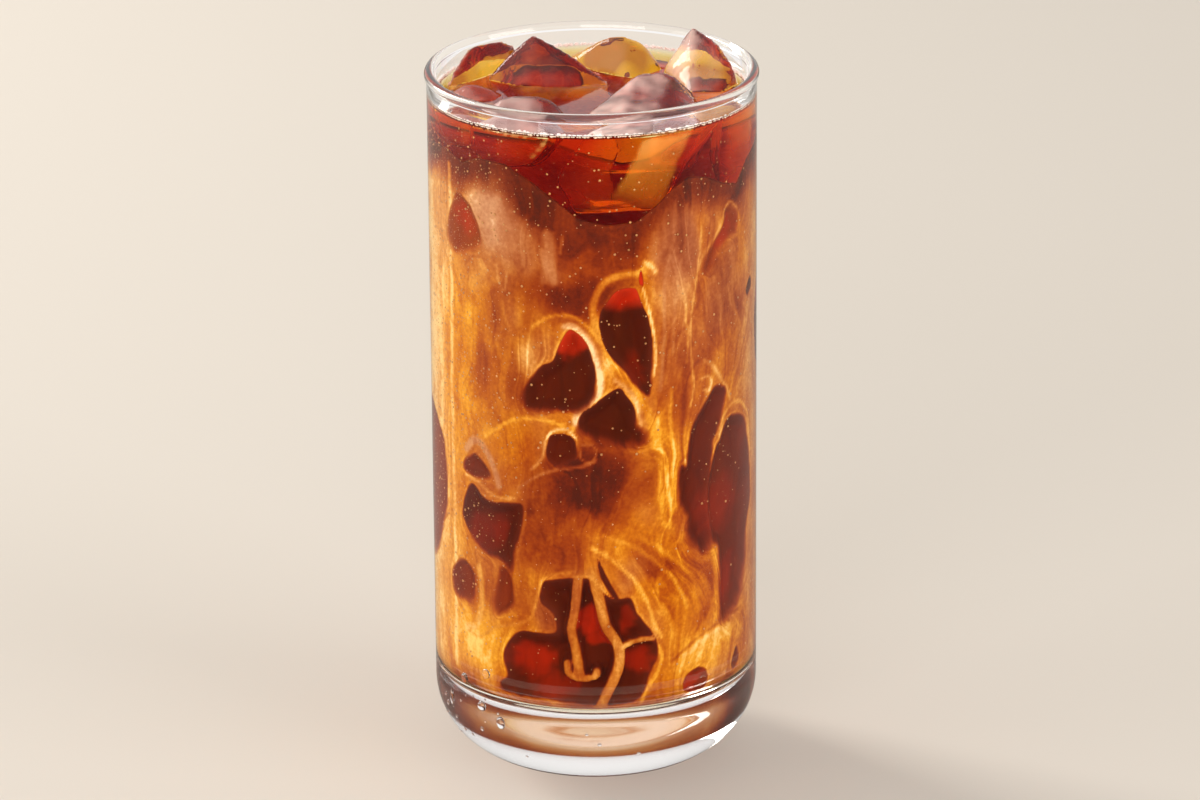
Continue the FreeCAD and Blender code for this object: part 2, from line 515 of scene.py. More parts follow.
# name: (outline, softness of the top edge, softness of the bottom edge, depth, pale rim, tone)
WINDOWS = {
    "apex": (
        [(-4.4, 106.4), (-1.6, 103.6), (0.2, 97.2), (0.5, 93.4), (-0.4, 90.7), (-3.1, 88.3), (-7.3, 88.5),
         (-12, 88.1), (-14.7, 88.6), (-15.2, 91.5), (-13.3, 95.5), (-11.3, 98), (-8.7, 99.5), (-7.2, 103),
         (-5.5, 106)], 0.2, 1.1, 4.0, 1.0, 0.05),
    "tall oval": (
        [(5.1, 115.2), (8.7, 115.1), (10.1, 111.9), (11.6, 108.6), (12.5, 103.6), (12.5, 98.7),
        (11.9, 92.6),
         (11.1, 91.3), (8.6, 94.1), (6, 97.6), (3.8, 100.6), (1.7, 104.5), (1.1, 108.3), (1.6, 110.7),
         (3, 112.8)], 0.15, 0.5, 4.5, 0.6, 0.03),
    "lower right of the apex": (
        [(4.8, 93.5), (6.8, 91.6), (8.5, 88.5), (9.2, 85.3), (10.9, 82.7), (9.6, 80.3), (1.2, 81.8),
        (-3, 84),
         (-3.4, 85.8), (-2.5, 88.1), (-0.4, 89.6)], 0.15, 2.0, 4.0, 0.9, 0.03),
    "small": (
        [(-9.5, 82.3), (-7.1, 83.2), (-4.6, 82.4), (-3.8, 79.5), (-4, 77.7), (-6.6, 76.5), (-8.9, 76.1),
         (-10.2, 78)], 0.15, 0.25, 2.5, 0.8, 0.10),
    "beaded small": (
        [(-28.5, 75.2), (-26.1, 74.2), (-24.2, 72.4), (-23.9, 70.9), (-27.1, 70.3), (-31.3, 70.3),
         (-31.6, 72.5)], 0.5, 0.5, 2.0, 0.2, 0.22),
    "beaded large": (
        [(-29, 68.2), (-25.7, 66.2), (-21.8, 65.7), (-16.2, 66.6), (-15.5, 64.7), (-16, 61.2),
        (-17.7, 55.9),
         (-18.5, 50.2), (-20.5, 52.6), (-24.5, 53.5), (-27.4, 54.8), (-30.9, 57.7), (-32.6, 60.6),
         (-31.4, 65.3)], 0.35, 0.8, 4.5, 0.2, 0.10),
    "low oval": (
        [(-32.5, 50.1), (-29.4, 48.2), (-28.8, 45.4), (-29.5, 41.3), (-35.5, 40.8), (-37.1, 44.1),
         (-36.1, 47.3)], 0.6, 1.0, 2.0, 0.1, 0.26),
    "low brown": (
        [(-21, 51.3), (-18.5, 49.6), (-18.1, 45.5), (-18.4, 43), (-22.2, 40), (-23.5, 43.2), (-22.4, 47.6)],
        0.8, 1.0, 2.0, 0.0, 0.27),
    "right of the sheet": (
        [(28.6, 90), (31.9, 88.2), (31.6, 85.6), (30.2, 81.9), (27.9, 78.1), (27.6, 74.8), (27.0, 66),
        (28, 57),
         (25.4, 53), (21.9, 55.8), (20.4, 59.3), (20.4, 62.5), (18.8, 66), (18.6, 72), (19.2, 74.4),
         (20.2, 74), (21.2, 79.7), (22.2, 83.1), (24.7, 86.3)], 0.5, 1.8, 4.0, 0.3, 0.14),
    "far right": (
        [(35.4, 81.7), (40.2, 79), (41.4, 74.9), (42.8, 69.9), (43.6, 60.4), (40.9, 53.8), (40.3, 46.2),
         (37.7, 39.5), (34.2, 36.8), (30.2, 37), (29.8, 52.5), (27.3, 55.5), (25.5, 65.1), (28.6, 75.6),
         (29.9, 77.5), (31.9, 81)], 0.5, 1.6, 3.5, 0.9, 0.16),
    "red streak": (
        [(34.9, 128.1), (36.6, 125.9), (36.2, 122.7), (32.6, 122.1), (29.2, 119.5), (26.4, 116.0),
         (25.3, 117.5), (27.7, 121.5), (31.2, 125), (31.9, 128.1)], 0.7, 1.4, 1.6, 0.2, 0.36),
    "right fleck": (
        [(43.3, 110), (44.1, 107.9), (42, 106.4), (40.8, 108)], 0.4, 0.4, 2.0, 0.3, 0.05),
    "bottom": (
        [(-11.9, 46.5), (-10.9, 49.4), (-8.5, 50.3), (-3.8, 51), (-0.7, 50.3), (3.2, 46.3), (7.4, 46),
         (9.0, 42.4), (12.2, 37.4), (13.3, 32.9), (11.5, 28), (9.3, 22.4), (4.1, 21.2), (-0.5, 21.2),
         (-8.8, 22.3), (-14.7, 22.2), (-21.4, 22.6), (-22.0, 24.6), (-20.0, 26.5), (-20.8, 31.2),
         (-18.6, 35.3), (-16.4, 37.4), (-12.4, 37.6), (-8.6, 38.2), (-9.0, 42.2), (-11.5, 44.4)],
        0.25, 0.4, 5.0, 0.5, 0.07),
    "low right": (
        [(22.9, 27.3), (25.2, 26.6), (26.3, 23.8), (25.2, 21.3), (20.5, 21.9), (19.6, 25.3)],
        0.3, 0.3, 1.8, 0.4, 0.24),
    "low far right": (
        [(36.3, 28.2), (37.3, 24.6), (35.5, 22.7), (34.2, 24.8), (35.1, 26.6)], 0.4, 0.4, 1.8, 0.4, 0.20),
    "left edge": (
        [(-50.5, 81), (-41.6, 76.6), (-39.6, 71.6), (-39, 60.8), (-42.6, 52.9), (-45.6, 47.5), (-53, 46.9),
         (-57, 55), (-56.3, 68.8)], 1.0, 1.5, 3.0, 0.3, 0.30),
    "upper left": (
        [(-32.6, 132.5), (-28.3, 130.1), (-25.6, 125.2), (-26.1, 122.2), (-29.5, 120.2), (-33.5, 119.1),
         (-36.5, 121.4), (-36.3, 126), (-34.5, 130.5)], 0.4, 1.2, 2.5, 0.1, 0.42),
    "slit": (
        [(0.4, 55.6), (2.2, 51.6), (3.8, 48.2), (5.0, 45.6), (4.0, 45.8), (2.4, 48.6), (1.0, 52.0)],
        0.2, 0.3, 1.5, 0.2, 0.05),
    "notch": (
        [(10.2, 119.2), (10.6, 117.0), (10.4, 115.6), (9.8, 116.0), (9.7, 118.0)],
        0.15, 0.2, 1.0, 0.6, 0.05),
}

# Threads of cream that cross a window: (points, half width)
BRIDGES = [
    ([(-3.6, 51.5), (-3.9, 48.8), (-4.4, 42.8), (-5.2, 38.7), (-4.4, 34.4), (-3.6, 28.6)], 1.05),
    ([(-6.2, 31.2), (-6.0, 29.2), (-4.6, 27.9), (-2.0, 27.8), (0.0, 28.6), (0.2, 29.6)], 0.75),
    ([(-0.4, 52.0), (0.3, 48.8), (1.2, 43.8), (2.3, 39.5), (4.7, 35.6), (5.0, 31.8), (3.9, 28.0),
      (0.9, 21.0)], 1.15),
    ([(5.2, 34.8), (8.5, 36.0), (12.0, 36.4)], 0.6),
]

# Threads of paler or darker cream on the wall: (points, half width, cream, gold, grey, strength)
THREADS = [
    # sheets and threads round the tall oval and the apex
    ([(24.6, 126), (23.6, 118), (22.2, 110), (21.6, 102), (21.9, 96), (22.5, 91.5),
      (21.4, 87)], 0.35, 0.88, 0.2, 0.2, 0.6),
    ([(20.6, 110), (20.9, 103), (20.6, 97)], 0.3, 0.92, 0.3, 0.1, 0.5),
    ([(1.0, 107), (2.9, 101.5), (5.6, 96.6), (8.8, 92.2), (11.6, 87), (13.2, 81), (14.2, 76), (14.6, 70),
      (15.2, 62)], 1.1, 0.80, 0.9, 0.0, 0.85),
    ([(4.4, 95.2), (6.6, 93.6), (8.6, 90.6), (9.6, 87.0), (9.9, 84.5)], 0.5, 0.90, 0.3, 0.3, 0.8),
    ([(-6.0, 107.2), (-4.4, 107.4), (-1.6, 104.8), (0.0, 101), (1.1, 96.6), (1.1, 92.8), (-1.2, 90.2),
      (-3.4, 88.0), (-3.9, 85.8)], 0.85, 0.92, 0.1, 0.55, 0.9),
    ([(-13, 106.5), (-9, 109.2), (-5, 109.6), (-1.5, 107.4), (1.4, 103.8)], 0.5, 0.86, 0.7, 0.0, 0.7),
    ([(12.2, 120.4), (9.6, 118.6), (5.4, 118.4), (2.0, 116.6), (0.0, 112.4), (0.2, 108.2), (1.4, 104.4)],
     0.9, 0.80, 0.6, 0.0, 0.8),
    ([(11.0, 120.8), (12.4, 120.0), (13.4, 118.5)], 0.6, 0.95, 0.3, 0.1, 0.8),
    ([(10.4, 115), (11.6, 111), (12.6, 106.5), (13.2, 101), (12.8, 95.5)], 0.35, 0.98, 0.2, 0.1, 0.85),
    ([(18, 133), (17.4, 126), (15.6, 118), (15.2, 110), (15.0, 101),
      (14.2, 92)], 0.5, 0.80, 0.1, 0.7, 0.45),
    ([(20.5, 132), (20.0, 124), (18.6, 116), (17.6, 108), (17.4, 100)], 0.45, 0.78, 0.1, 0.6, 0.4),
    ([(13.6, 86), (14.4, 78), (15.6, 72), (16.6, 66), (16.2, 61)], 0.5, 0.92, 0.9, 0.0, 0.7),
    ([(16.8, 92), (16.6, 84), (17.4, 78), (16.6, 72)], 0.5, 0.84, 0.8, 0.0, 0.5),
    # right side
    ([(25.2, 96.5), (28.2, 94.4), (30.6, 90.6), (32.8, 87.6), (33.8, 85.4)], 0.6, 0.90, 0.2, 0.3, 0.6),
    ([(24.6, 92.4), (26.4, 92.8), (27.4, 91.2), (26.6, 89.6), (25.2, 89.8)], 0.4, 0.92, 0.1, 0.3, 0.7),
    ([(29.8, 78.6), (31.2, 82.2), (34.4, 84.4), (38.2, 83.4), (41.4, 80), (42.4, 76), (43.6, 71)],
     0.5, 0.86, 0.5, 0.1, 0.8),
    ([(20.0, 75.2), (20.6, 72.6), (20.9, 69.4)], 0.35, 0.92, 0.3, 0.1, 0.8),
    ([(27.9, 56.5), (28.6, 50), (28.7, 43), (28.9, 37.4)], 1.1, 0.76, 0.9, 0.0, 0.75),
    ([(33.0, 124), (31.6, 127), (32.2, 129), (34.2, 129.4), (36.2, 127.6)], 0.45, 0.86, 0.2, 0.3, 0.7),
    ([(23.5, 118), (26.6, 121.5), (29.5, 124.2), (30.8, 126)], 0.5, 0.85, 0.2, 0.3, 0.5),
    # golden fall to the right of the bottom window
    ([(-0.6, 57.6), (2.4, 56), (6.0, 52.4), (9.2, 48.8), (11.2, 44.4), (12.6, 39.4), (14.2, 36.2)],
     0.55, 0.90, 0.6, 0.0, 0.8),
    ([(2.0, 60.5), (8.0, 57.6), (13.4, 53.2), (17.6, 48.0), (20.4, 42)], 0.6, 0.86, 0.7, 0.0, 0.55),
    ([(9.0, 60), (15, 55.4), (20, 50.4), (24, 44)], 0.7, 0.84, 0.8, 0.0, 0.5),
    ([(12, 50), (14.2, 44), (16.8, 38), (17.4, 33)], 0.6, 0.80, 0.8, 0.0, 0.5),
    ([(16.6, 30.2), (21.4, 33.0), (26, 34.9), (32, 36.4), (38, 36.6)], 0.35, 0.50, 0.5, 0.0, 0.7),
    ([(18.5, 28.4), (22.6, 30.6), (27.2, 32.6), (32.4, 33.2), (37.5, 31.6)], 2.0, 0.86, 0.75, 0.0, 0.6),
    ([(19.5, 30.8), (23.6, 32.8), (28.2, 34.2), (33.4, 34.4)], 0.6, 0.92, 0.4, 0.1, 0.5),
    ([(11.2, 35.4), (13.6, 34), (14.0, 31), (12.8, 27.8), (10.8, 24.6),
      (10.0, 21.4)], 0.55, 0.86, 0.8, 0.0, 0.85),
    ([(14.8, 36), (15.4, 31), (14.4, 26), (12.8, 21.4)], 0.5, 0.62, 0.7, 0.0, 0.5),
    # left side
    ([(-24.8, 80.2), (-20.4, 83.4), (-15.6, 85.8), (-11, 86.2), (-6.4, 85.0),
      (-4.6, 84.6)], 0.55, 0.88, 0.8, 0.0, 0.7),
    ([(-30.8, 75.6), (-28.8, 78.2), (-26.2, 78.2), (-24.0, 75.8), (-22.4, 72.6), (-21.4, 69.6)],
     0.9, 0.78, 0.0, 0.9, 0.8),
    ([(-31, 69.6), (-27.8, 69.4), (-24.6, 67.8), (-21.2, 66.8), (-17.4, 67.6)], 0.5, 0.88, 0.3, 0.2, 0.8),
    ([(-16.4, 70.2), (-12.6, 73.0), (-8.4, 74.9), (-3.2, 76.0), (0.4, 77.4)], 0.4, 0.66, 0.1, 0.5, 0.6),
    ([(-13.6, 74.6), (-12.0, 76.2), (-10.8, 78.4), (-10.6, 81.2)], 0.45, 0.80, 0.2, 0.4, 0.6),
    ([(-10.0, 82.2), (-8.6, 83.9), (-5.8, 84.2), (-3.9, 82.6)], 0.4, 0.97, 0.1, 0.2, 0.85),
    ([(-2.8, 80.8), (-1.2, 81.2), (0.3, 80), (0.2, 78.0), (-1.3, 77.1), (-2.9, 77.9), (-3.0, 79.6)],
     0.28, 0.62, 0.0, 0.3, 0.75),
    ([(-16.6, 50), (-17.0, 55), (-15.9, 60), (-15.0, 65)], 0.45, 0.62, 0.4, 0.1, 0.6),
    ([(-27.4, 49.8), (-26.8, 45.4), (-26.6, 40.6), (-28.2, 36.4), (-31.4, 34.6)], 1.0, 0.93, 0.4, 0.1, 0.7),
    ([(-31, 34.2), (-27, 34), (-23, 36.8), (-18, 38.6), (-14, 41), (-12.6, 45.2), (-11.6, 48.9),
      (-8.6, 51.4),
      (-3.2, 52.2), (-0.4, 51.2)], 0.45, 0.78, 0.7, 0.1, 0.6),
    ([(-37, 38), (-30, 37.2), (-24.6, 33.6), (-22.6, 30)], 0.6, 0.86, 0.9, 0.0, 0.5),
    # a painted highlight: the pale vertical strip down the left of the glass
    ([(-35.8, 138), (-35.4, 112), (-35.9, 84), (-35.4, 52), (-35.8, 24)], 0.7, 1.05, 0.3, 0.1, 0.6),
    # swirls up the back
    ([(103.4, 50), (101.2, 60), (103.0, 70), (100.2, 78)], 1.1, 0.98, 0.3, 0.3, 0.75),
    ([(-102.0, 46), (-99.4, 56), (-101.8, 64), (-98.0, 72), (-99.0, 82)], 0.8, 0.94, 0.4, 0.2, 0.7),
    ([(88, 58), (91.5, 50), (95.5, 44), (98.5, 34), (99, 26)], 0.8, 0.94, 0.5, 0.2, 0.7),
    ([(78, 124), (76, 112), (79.5, 102), (77, 92), (74, 78), (77, 66)], 0.7, 0.92, 0.5, 0.1, 0.65),
    ([(66, 132), (64.5, 118), (66.5, 104), (65, 88), (67, 74)], 0.6, 0.90, 0.5, 0.1, 0.6),
    ([(-84, 128), (-82, 112), (-84.5, 96), (-81, 84), (-82, 62), (-79, 48)], 0.8, 0.92, 0.4, 0.2, 0.65),
    ([(-68, 126), (-67, 110), (-69.5, 92), (-66, 76), (-67, 60)], 0.6, 0.90, 0.5, 0.1, 0.6),
    # fog, with a painted highlight down its middle
    ([(-9.4, 127.2), (-8.9, 124), (-9.1, 120.6), (-8.6, 117.4)], 1.5, 0.86, 0.0, 0.9, 0.6),
    ([(-10.6, 123.5), (-10.2, 119.6), (-10.6, 116.8)], 0.8, 0.80, 0.1, 0.8, 0.45),
    ([(-6.2, 127), (-6.8, 123.6)], 0.35, 0.8, 0.2, 0.4, 0.5),
    ([(-21.4, 119), (-21.0, 115.6), (-19.4, 114), (-18.8, 117.6)], 0.4, 0.86, 0.2, 0.4, 0.5),
    ([(-19.4, 109), (-18.6, 106), (-17.4, 104)], 0.35, 0.84, 0.3, 0.3, 0.4),
]

# Broad patches: (across, height, half width, half height, lean in degrees, cream, gold, grey, strength)
PATCHES = [
    (0, 58, 60, 60, 0, 0.66, 0.75, 0.0, 0.6),
    (-36, 100, 9, 28, 0, 0.80, 0.85, 0.0, 0.8),
    (-27, 100, 7, 16, 0, 0.66, 1.0, 0.0, 0.8),
    # painted highlight: the left edge of the wall is made paler all the way up
    (-46, 75, 8, 80, 0, 0.98, 0.35, 0.1, 0.95),
    (-38, 50, 6, 30, 0, 0.86, 0.45, 0.0, 0.8),
    (-24, 92, 5, 7, 0, 0.56, 0.9, 0.0, 0.7),
    (-16, 93, 3, 4, 0, 0.34, 0.4, 0.0, 0.8),
    (-26, 97, 3, 4, 0, 0.48, 0.6, 0.1, 0.6),
    (-21, 106, 2.5, 6, 10, 0.42, 0.4, 0.0, 0.6),
    (-19, 79, 6, 4.5, 15, 0.76, 1.0, 0.0, 0.9),
    (-11, 80, 2.5, 4, 0, 0.52, 0.3, 0.2, 0.6),
    (-28, 86, 8, 4, 10, 0.74, 0.95, 0.0, 0.6),
    (-13, 99, 6, 3.2, 42, 0.80, 0.35, 0.25, 0.85),
    (-12, 106, 8, 3, 30, 0.52, 0.5, 0.0, 0.6),
    (-13, 114, 8, 5, 0, 0.40, 0.3, 0.1, 0.85),
    (-2, 113, 3.5, 7, 0, 0.48, 0.5, 0.0, 0.7),
    (-21, 129, 9, 11, 0, 0.82, 0.0, 1.0, 0.95),
    (-14, 125, 6, 8, 0, 0.62, 0.2, 0.7, 0.7),
    (-27, 117, 6, 5, 0, 0.70, 0.7, 0.3, 0.7),
    (-38, 125, 5, 16, 0, 0.84, 0.2, 0.3, 0.8),
    (2, 125, 8, 7, 0, 0.26, 0.0, 0.0, 0.9),
    (9, 122, 4, 2, 0, 0.52, 0.8, 0.0, 0.7),
    (6, 118, 4, 2, 0, 0.68, 0.6, 0.0, 0.7),
    (18.5, 126, 4.5, 10, 8, 0.74, 0.05, 0.95, 0.9),
    (17.5, 111, 4, 11, 0, 0.84, 0.2, 0.55, 0.9),
    (16.5, 98, 3, 7, 0, 0.86, 0.5, 0.2, 0.8),
    (19.6, 93.5, 2, 3.5, 0, 0.50, 0.6, 0.0, 0.8),
    (16.5, 76, 2.6, 15, 0, 0.70, 1.0, 0.0, 0.9),
    (22, 104, 1.5, 14, 0, 0.58, 0.6, 0.0, 0.5),
    (30, 110, 6, 9, 0, 0.50, 0.15, 0.5, 0.8),
    (34, 112, 3, 8, 0, 0.40, 0.0, 0.4, 0.6),
    (32, 97, 9, 7, 0, 0.62, 0.7, 0.0, 0.8),
    (28, 126, 3, 4, 0, 0.56, 0.4, 0.3, 0.6),
    (35, 130, 5, 3, 0, 0.62, 0.5, 0.2, 0.6),
    (42, 95, 6, 18, 0, 0.74, 0.2, 0.4, 0.8),
    (46, 75, 5, 60, 0, 0.78, 0.1, 0.5, 0.7),
    (-1, 74, 11, 8, 12, 0.26, 0.1, 0.0, 0.95),
    (6, 69, 6, 4, 20, 0.42, 0.5, 0.0, 0.7),
    (8, 77, 3.5, 3.5, 0, 0.36, 0.4, 0.0, 0.7),
    (-8, 62, 8, 5, 0, 0.46, 0.45, 0.0, 0.9),
    (-9, 55, 7, 4.5, 0, 0.54, 0.5, 0.1, 0.9),
    (-11, 69, 8, 2.2, 25, 0.22, 0.0, 0.0, 0.8),
    (6, 60, 8, 4, -25, 0.68, 0.9, 0.0, 0.8),
    (16, 52, 9, 9, -35, 0.68, 1.0, 0.0, 0.95),
    (22, 42, 7, 9, 0, 0.64, 1.0, 0.0, 0.95),
    (8, 52, 2.5, 5, -40, 0.56, 0.2, 0.4, 0.6),
    (28, 30, 10, 5, 5, 0.74, 1.0, 0.0, 0.9),
    (14, 27, 3.5, 6, 0, 0.62, 1.0, 0.0, 0.8),
    (-26, 31, 6, 5, 0, 0.68, 1.1, 0.0, 0.95),
    (-33, 27, 7, 4, 0, 0.82, 0.6, 0.0, 0.8),
    (-23, 60, 1, 1, 0, 0.30, 0.0, 0.0, 0.5),
    (-10, 42, 3.5, 4.5, 0, 0.36, 0.1, 0.3, 0.9),
    (-15, 44, 3, 5, -15, 0.54, 0.5, 0.0, 0.8),
    (-5, 21.5, 14, 1.4, 0, 0.48, 0.7, 0.0, 0.7),
    (0, 19, 60, 1.8, 0, 0.42, 0.5, 0.0, 0.7),
    (1, 124, 12, 8, -12, 0.27, 0.8, 0.0, 0.95),
    (-9, 113, 8, 4.5, 12, 0.34, 0.8, 0.0, 0.8),
    (-2, 111, 3, 6, 0, 0.38, 0.9, 0.0, 0.7),
    (-1, 73, 10, 6.5, 12, 0.16, 0.5, 0.0, 0.95),
    (-6, 66, 8, 3, 20, 0.20, 0.5, 0.0, 0.85),
    (-9, 58, 8, 6, 0, 0.36, 0.8, 0.0, 0.8),
    (3, 64, 5, 3, 0, 0.36, 0.8, 0.0, 0.6),
    # painted reflection: a pale patch low at the back, and under it a dark band, which the base shows as
    # its bright lens and the dark line beneath it
    (104.3, 36, 7.5, 15.5, 0, 1.12, 0.0, 1.0, 0.99),
    (104.3, 17.5, 70, 2.6, 0, 0.08, 0.3, 0.0, 1.0),
    (19, 102, 6, 11, 0, 0.42, 0.6, 0.35, 0.85),
    (20, 90, 4.5, 7, 0, 0.38, 0.9, 0.1, 0.85),
    (17, 99, 2.5, 9, 0, 0.52, 0.7, 0.2, 0.6),
    (18.5, 124, 4, 8, 0, 0.46, 0.2, 0.9, 0.8),
    (0, 112, 9, 4.5, -8, 0.17, 0.9, 0.0, 0.85),
    (-11, 131, 10, 4, -28, 0.14, 0.3, 0.0, 0.85),
    (8, 130, 9, 4.5, 30, 0.12, 0.3, 0.0, 0.85),
    (2, 126, 10, 3.4, 0, 0.10, 0.5, 0.0, 0.85),
    (-27, 33, 9, 6, 0, 0.90, 1.1, 0.0, 0.8),
    (-33, 96, 6, 22, 0, 0.76, 1.1, 0.0, 0.8),
    (17, 51, 8, 7, -35, 0.42, 1.1, 0.0, 0.75),
    (-18, 79.5, 6, 4, 15, 0.66, 1.1, 0.0, 0.7),
    (30, 99, 8, 7, 0, 0.48, 0.8, 0.1, 0.6),
    (-1, 73, 9, 6, 12, 0.05, 0.5, 0.0, 0.8),
]

# Where the streaks are drawn out fine: (across, height, half width, half height, lean, amount)
COMBED = [
    (18, 112, 5, 26, 0, 0.6), (16, 78, 3, 16, 0, 0.7), (16, 50, 13, 12, -35, 0.6), (-13, 99, 7, 4, 42, 0.8),
    (32, 110, 6, 16, 10, 0.7), (5, 100, 4, 16, -35, 0.6), (26, 65, 10, 14, 0, 0.5),
    (-19, 78, 7, 5, 20, 0.4),
    (-4, 70, 10, 7, 25, 0.5), (24, 32, 12, 6, 10, 0.5), (4, 36, 9, 14, 0, 0.3), (70, 80, 12, 60, 0, 0.6),
    (100, 70, 12, 50, 0, 0.8), (-80, 80, 10, 60, 0, 0.7),
]

# Red light inside the windows: (across, height, half width, half height, lean, strength, kind)
# A crisp glow has an even edge, the currents tear a ragged one, and a soft one fades from its middle too.
GLOWS = [
    (6.0, 116.2, 7.0, 5.4, 4, 0.95, "crisp"),
    (-4.2, 103.8, 3.0, 3.2, 0, 0.85, "ragged"),
    (9.0, 97.0, 3.0, 4.0, 20, 0.22, "soft"),
    (-1.8, 40.8, 3.2, 3.4, 0, 0.75, "ragged"),
    (0.6, 37.0, 3.0, 1.6, 0, 0.6, "ragged"),
    (-15.5, 31, 5.0, 4.5, 0, 0.6, "soft"),
    (-10, 26, 5.0, 3.0, 0, 0.35, "soft"),
    (8.5, 31.5, 3.2, 3.0, 0, 0.5, "soft"),
    (7.4, 41.5, 2.2, 3.2, 30, 0.4, "soft"),
    (22.6, 24.2, 3.2, 2.8, 0, 0.6, "soft"),
    (-26, 58, 5.0, 4.0, 0, 0.2, "soft"),
    (30, 62, 8.0, 6.0, 0, 0.25, "soft"),
    (32, 45, 5.0, 6.0, 0, 0.3, "soft"),
    (-31, 127, 5.0, 3.0, 0, 0.5, "soft"),
    (31, 124, 4.0, 4.0, 0, 0.4, "soft"),
]

# How high the cream reaches up the wall: (across, height)
CREST = [
    (-104, 134), (-100, 141), (-92, 142.5), (-86, 139.5), (-78, 142), (-72, 141.5), (-66, 138),
    (-60, 141), (-50, 140), (-36, 141), (-31, 139.5), (-26, 141.5), (-19, 141.5), (-13, 138.5),
    (-8, 135), (-3, 131), (3, 129.5), (9, 130), (13.5, 133), (17, 136), (21, 138), (26, 137),
    (31, 134.5), (36, 133), (41, 137), (48, 139), (53, 141.5), (58, 138), (64, 141), (71, 142.5),
    (77, 138.5), (84, 142), (90, 142.5), (95, 141), (98, 132), (101, 130), (104, 134),
]

# Windows on the wall's sides and back: (across, height, width, height of the window, lean)
FAR_WINDOWS = [
    (56, 101, 13, 30, 0.1), (60, 66, 5, 9, -0.1), (58, 40, 14, 25, 0.1), (71, 86, 8, 13, -0.15),
    (72, 55, 15, 10, 0.0), (71, 116, 6, 9, 0.1), (84, 99, 15, 20, 0.1), (85, 71, 6, 10, 0.05),
    (82, 38, 9, 24, -0.1), (97, 115, 8, 11, -0.1), (100, 86, 13, 27, 0.2), (95, 59, 5, 7, 0.1),
    (-91, 98, 15, 28, -0.1), (-89, 66, 7, 9, 0.1), (-86, 40, 14, 20, 0.1), (-77, 113, 6, 9, 0.1),
    (-75, 78, 9, 33, -0.1), (-70, 43, 7, 12, 0.05), (-61, 98, 12, 20, 0.1), (-60, 30, 9, 6, 0.0),
]

# The two threads beside each: (closest, farthest, rise, greatest half width, cream, gold, grey, strength)
FAR_THREADS = [(0.4, 1.1, 0, 0.7, 0.90, 0.3, 0.2, 0.75), (1.6, 3.0, 2, 0.6, 0.84, 0.7, 0.0, 0.6)]

# Where the cream falls in a slope beside the bottom window: (across, height, half width, half height, lean)
FALL = (14, 50, 15, 14, -30)

# A window's edge is counted from -4 inside to 4 outside, in steps of its own softness.
EDGE_LIMIT = 4.0

# The core's top lies out of the windows' and threads' reach, and has plain fields.
TOP_FIELDS = {"gold": 0.9, "grey": 0.0, "edge": EDGE_LIMIT, "rim": 0.0, "glow": 0.0, "tone": 0.2,
              "combed": 0.1, "sunk": 0.0}


# ---------------------------------------------------------------- the cream in the coffee: its fields
def make_clouds(seed):
    """Smooth random hills: a function that gives one value for each of an array of points."""
    rng = np.random.default_rng(seed)
    table = np.tile(rng.permutation(256), 3)
    slopes = rng.normal(size=(256, 3))
    slopes /= np.linalg.norm(slopes, axis=1)[:, None]

    def clouds(points):
        cell = np.floor(points).astype(int)
        part = points - cell
        ease = part ** 3 * (part * (part * 6 - 15) + 10)
        total = np.zeros(points.shape[:-1])
        for corner in np.ndindex(2, 2, 2):
            index = 0
            for axis in range(3):
                index = table[index + ((cell[..., axis] + corner[axis]) & 255)]
            share = np.prod(np.where(np.array(corner), ease, 1 - ease), axis=-1)
            total += share * np.sum(slopes[index] * (part - np.array(corner)), axis=-1)
        return total * 1.6
    return clouds


def blended(a, b, share):
    """A value between a and b."""
    return a + (b - a) * share


def curve(points, closed, steps=6):
    """A smooth curve through the points."""
    points = np.array(points, float)
    if closed:
        padded = np.concatenate([points[-1:], points, points[:2]])
    else:
        padded = np.concatenate([2 * points[:1] - points[1:2], points, 2 * points[-1:] - points[-2:-1]])
    t = (np.arange(steps) / steps)[:, None]
    runs = []
    for p0, p1, p2, p3 in zip(padded, padded[1:], padded[2:], padded[3:]):
        runs.append(0.5 * (2 * p1 + (p2 - p0) * t + (2 * p0 - 5 * p1 + 4 * p2 - p3) * t ** 2
                           + (3 * p1 - p0 - 3 * p2 + p3) * t ** 3))
    if not closed:
        runs.append(points[-1:])
    return np.concatenate(runs)


def round_axis(radius, turn, height):
    """Places at a distance from the axis, turned round it from the front to the right."""
    return np.stack(np.broadcast_arrays(radius * np.sin(turn), -radius * np.cos(turn), height), axis=-1)


def near(across, middle):
    """Places round the wall, counted so that they lie within half a turn of the middle."""
    return (across - middle + ROUND / 2) % ROUND - ROUND / 2 + middle


def path_distance(across, height, path, closed):
    """How far each place is from a path, and for a closed one whether it is inside."""
    across = near(across, path[:, 0].mean())
    best = np.full(across.shape, 1e9)
    inside = np.zeros(across.shape, bool)
    ends = np.roll(path, -1, axis=0) if closed else path[1:]
    for (ax, ay), (bx, by) in zip(path, ends):
        dx, dy = bx - ax, by - ay
        t = np.clip(((across - ax) * dx + (height - ay) * dy) / (dx * dx + dy * dy + 1e-12), 0, 1)
        best = np.minimum(best, np.hypot(across - ax - t * dx, height - ay - t * dy))
        if closed and ay != by:
            crosses = (ay > height) != (by > height)
            inside ^= crosses & (across < ax + (height - ay) / (by - ay) * dx)
    return best, inside


def beside(points, closed, reach, across, height, flow):
    """A path's curve, the places near it, and how far each is from it, counted below 0 inside."""
    path = curve(points, closed)
    low, high = path.min(axis=0) - reach, path.max(axis=0) + reach
    turned_near = near(across, path[:, 0].mean())
    at = (turned_near > low[0]) & (turned_near < high[0]) & (height > low[1]) & (height < high[1])
    distance, inside = path_distance(flow.edge_across[at], flow.edge_height[at], path, closed)
    return path, at, np.where(inside, -distance, distance)


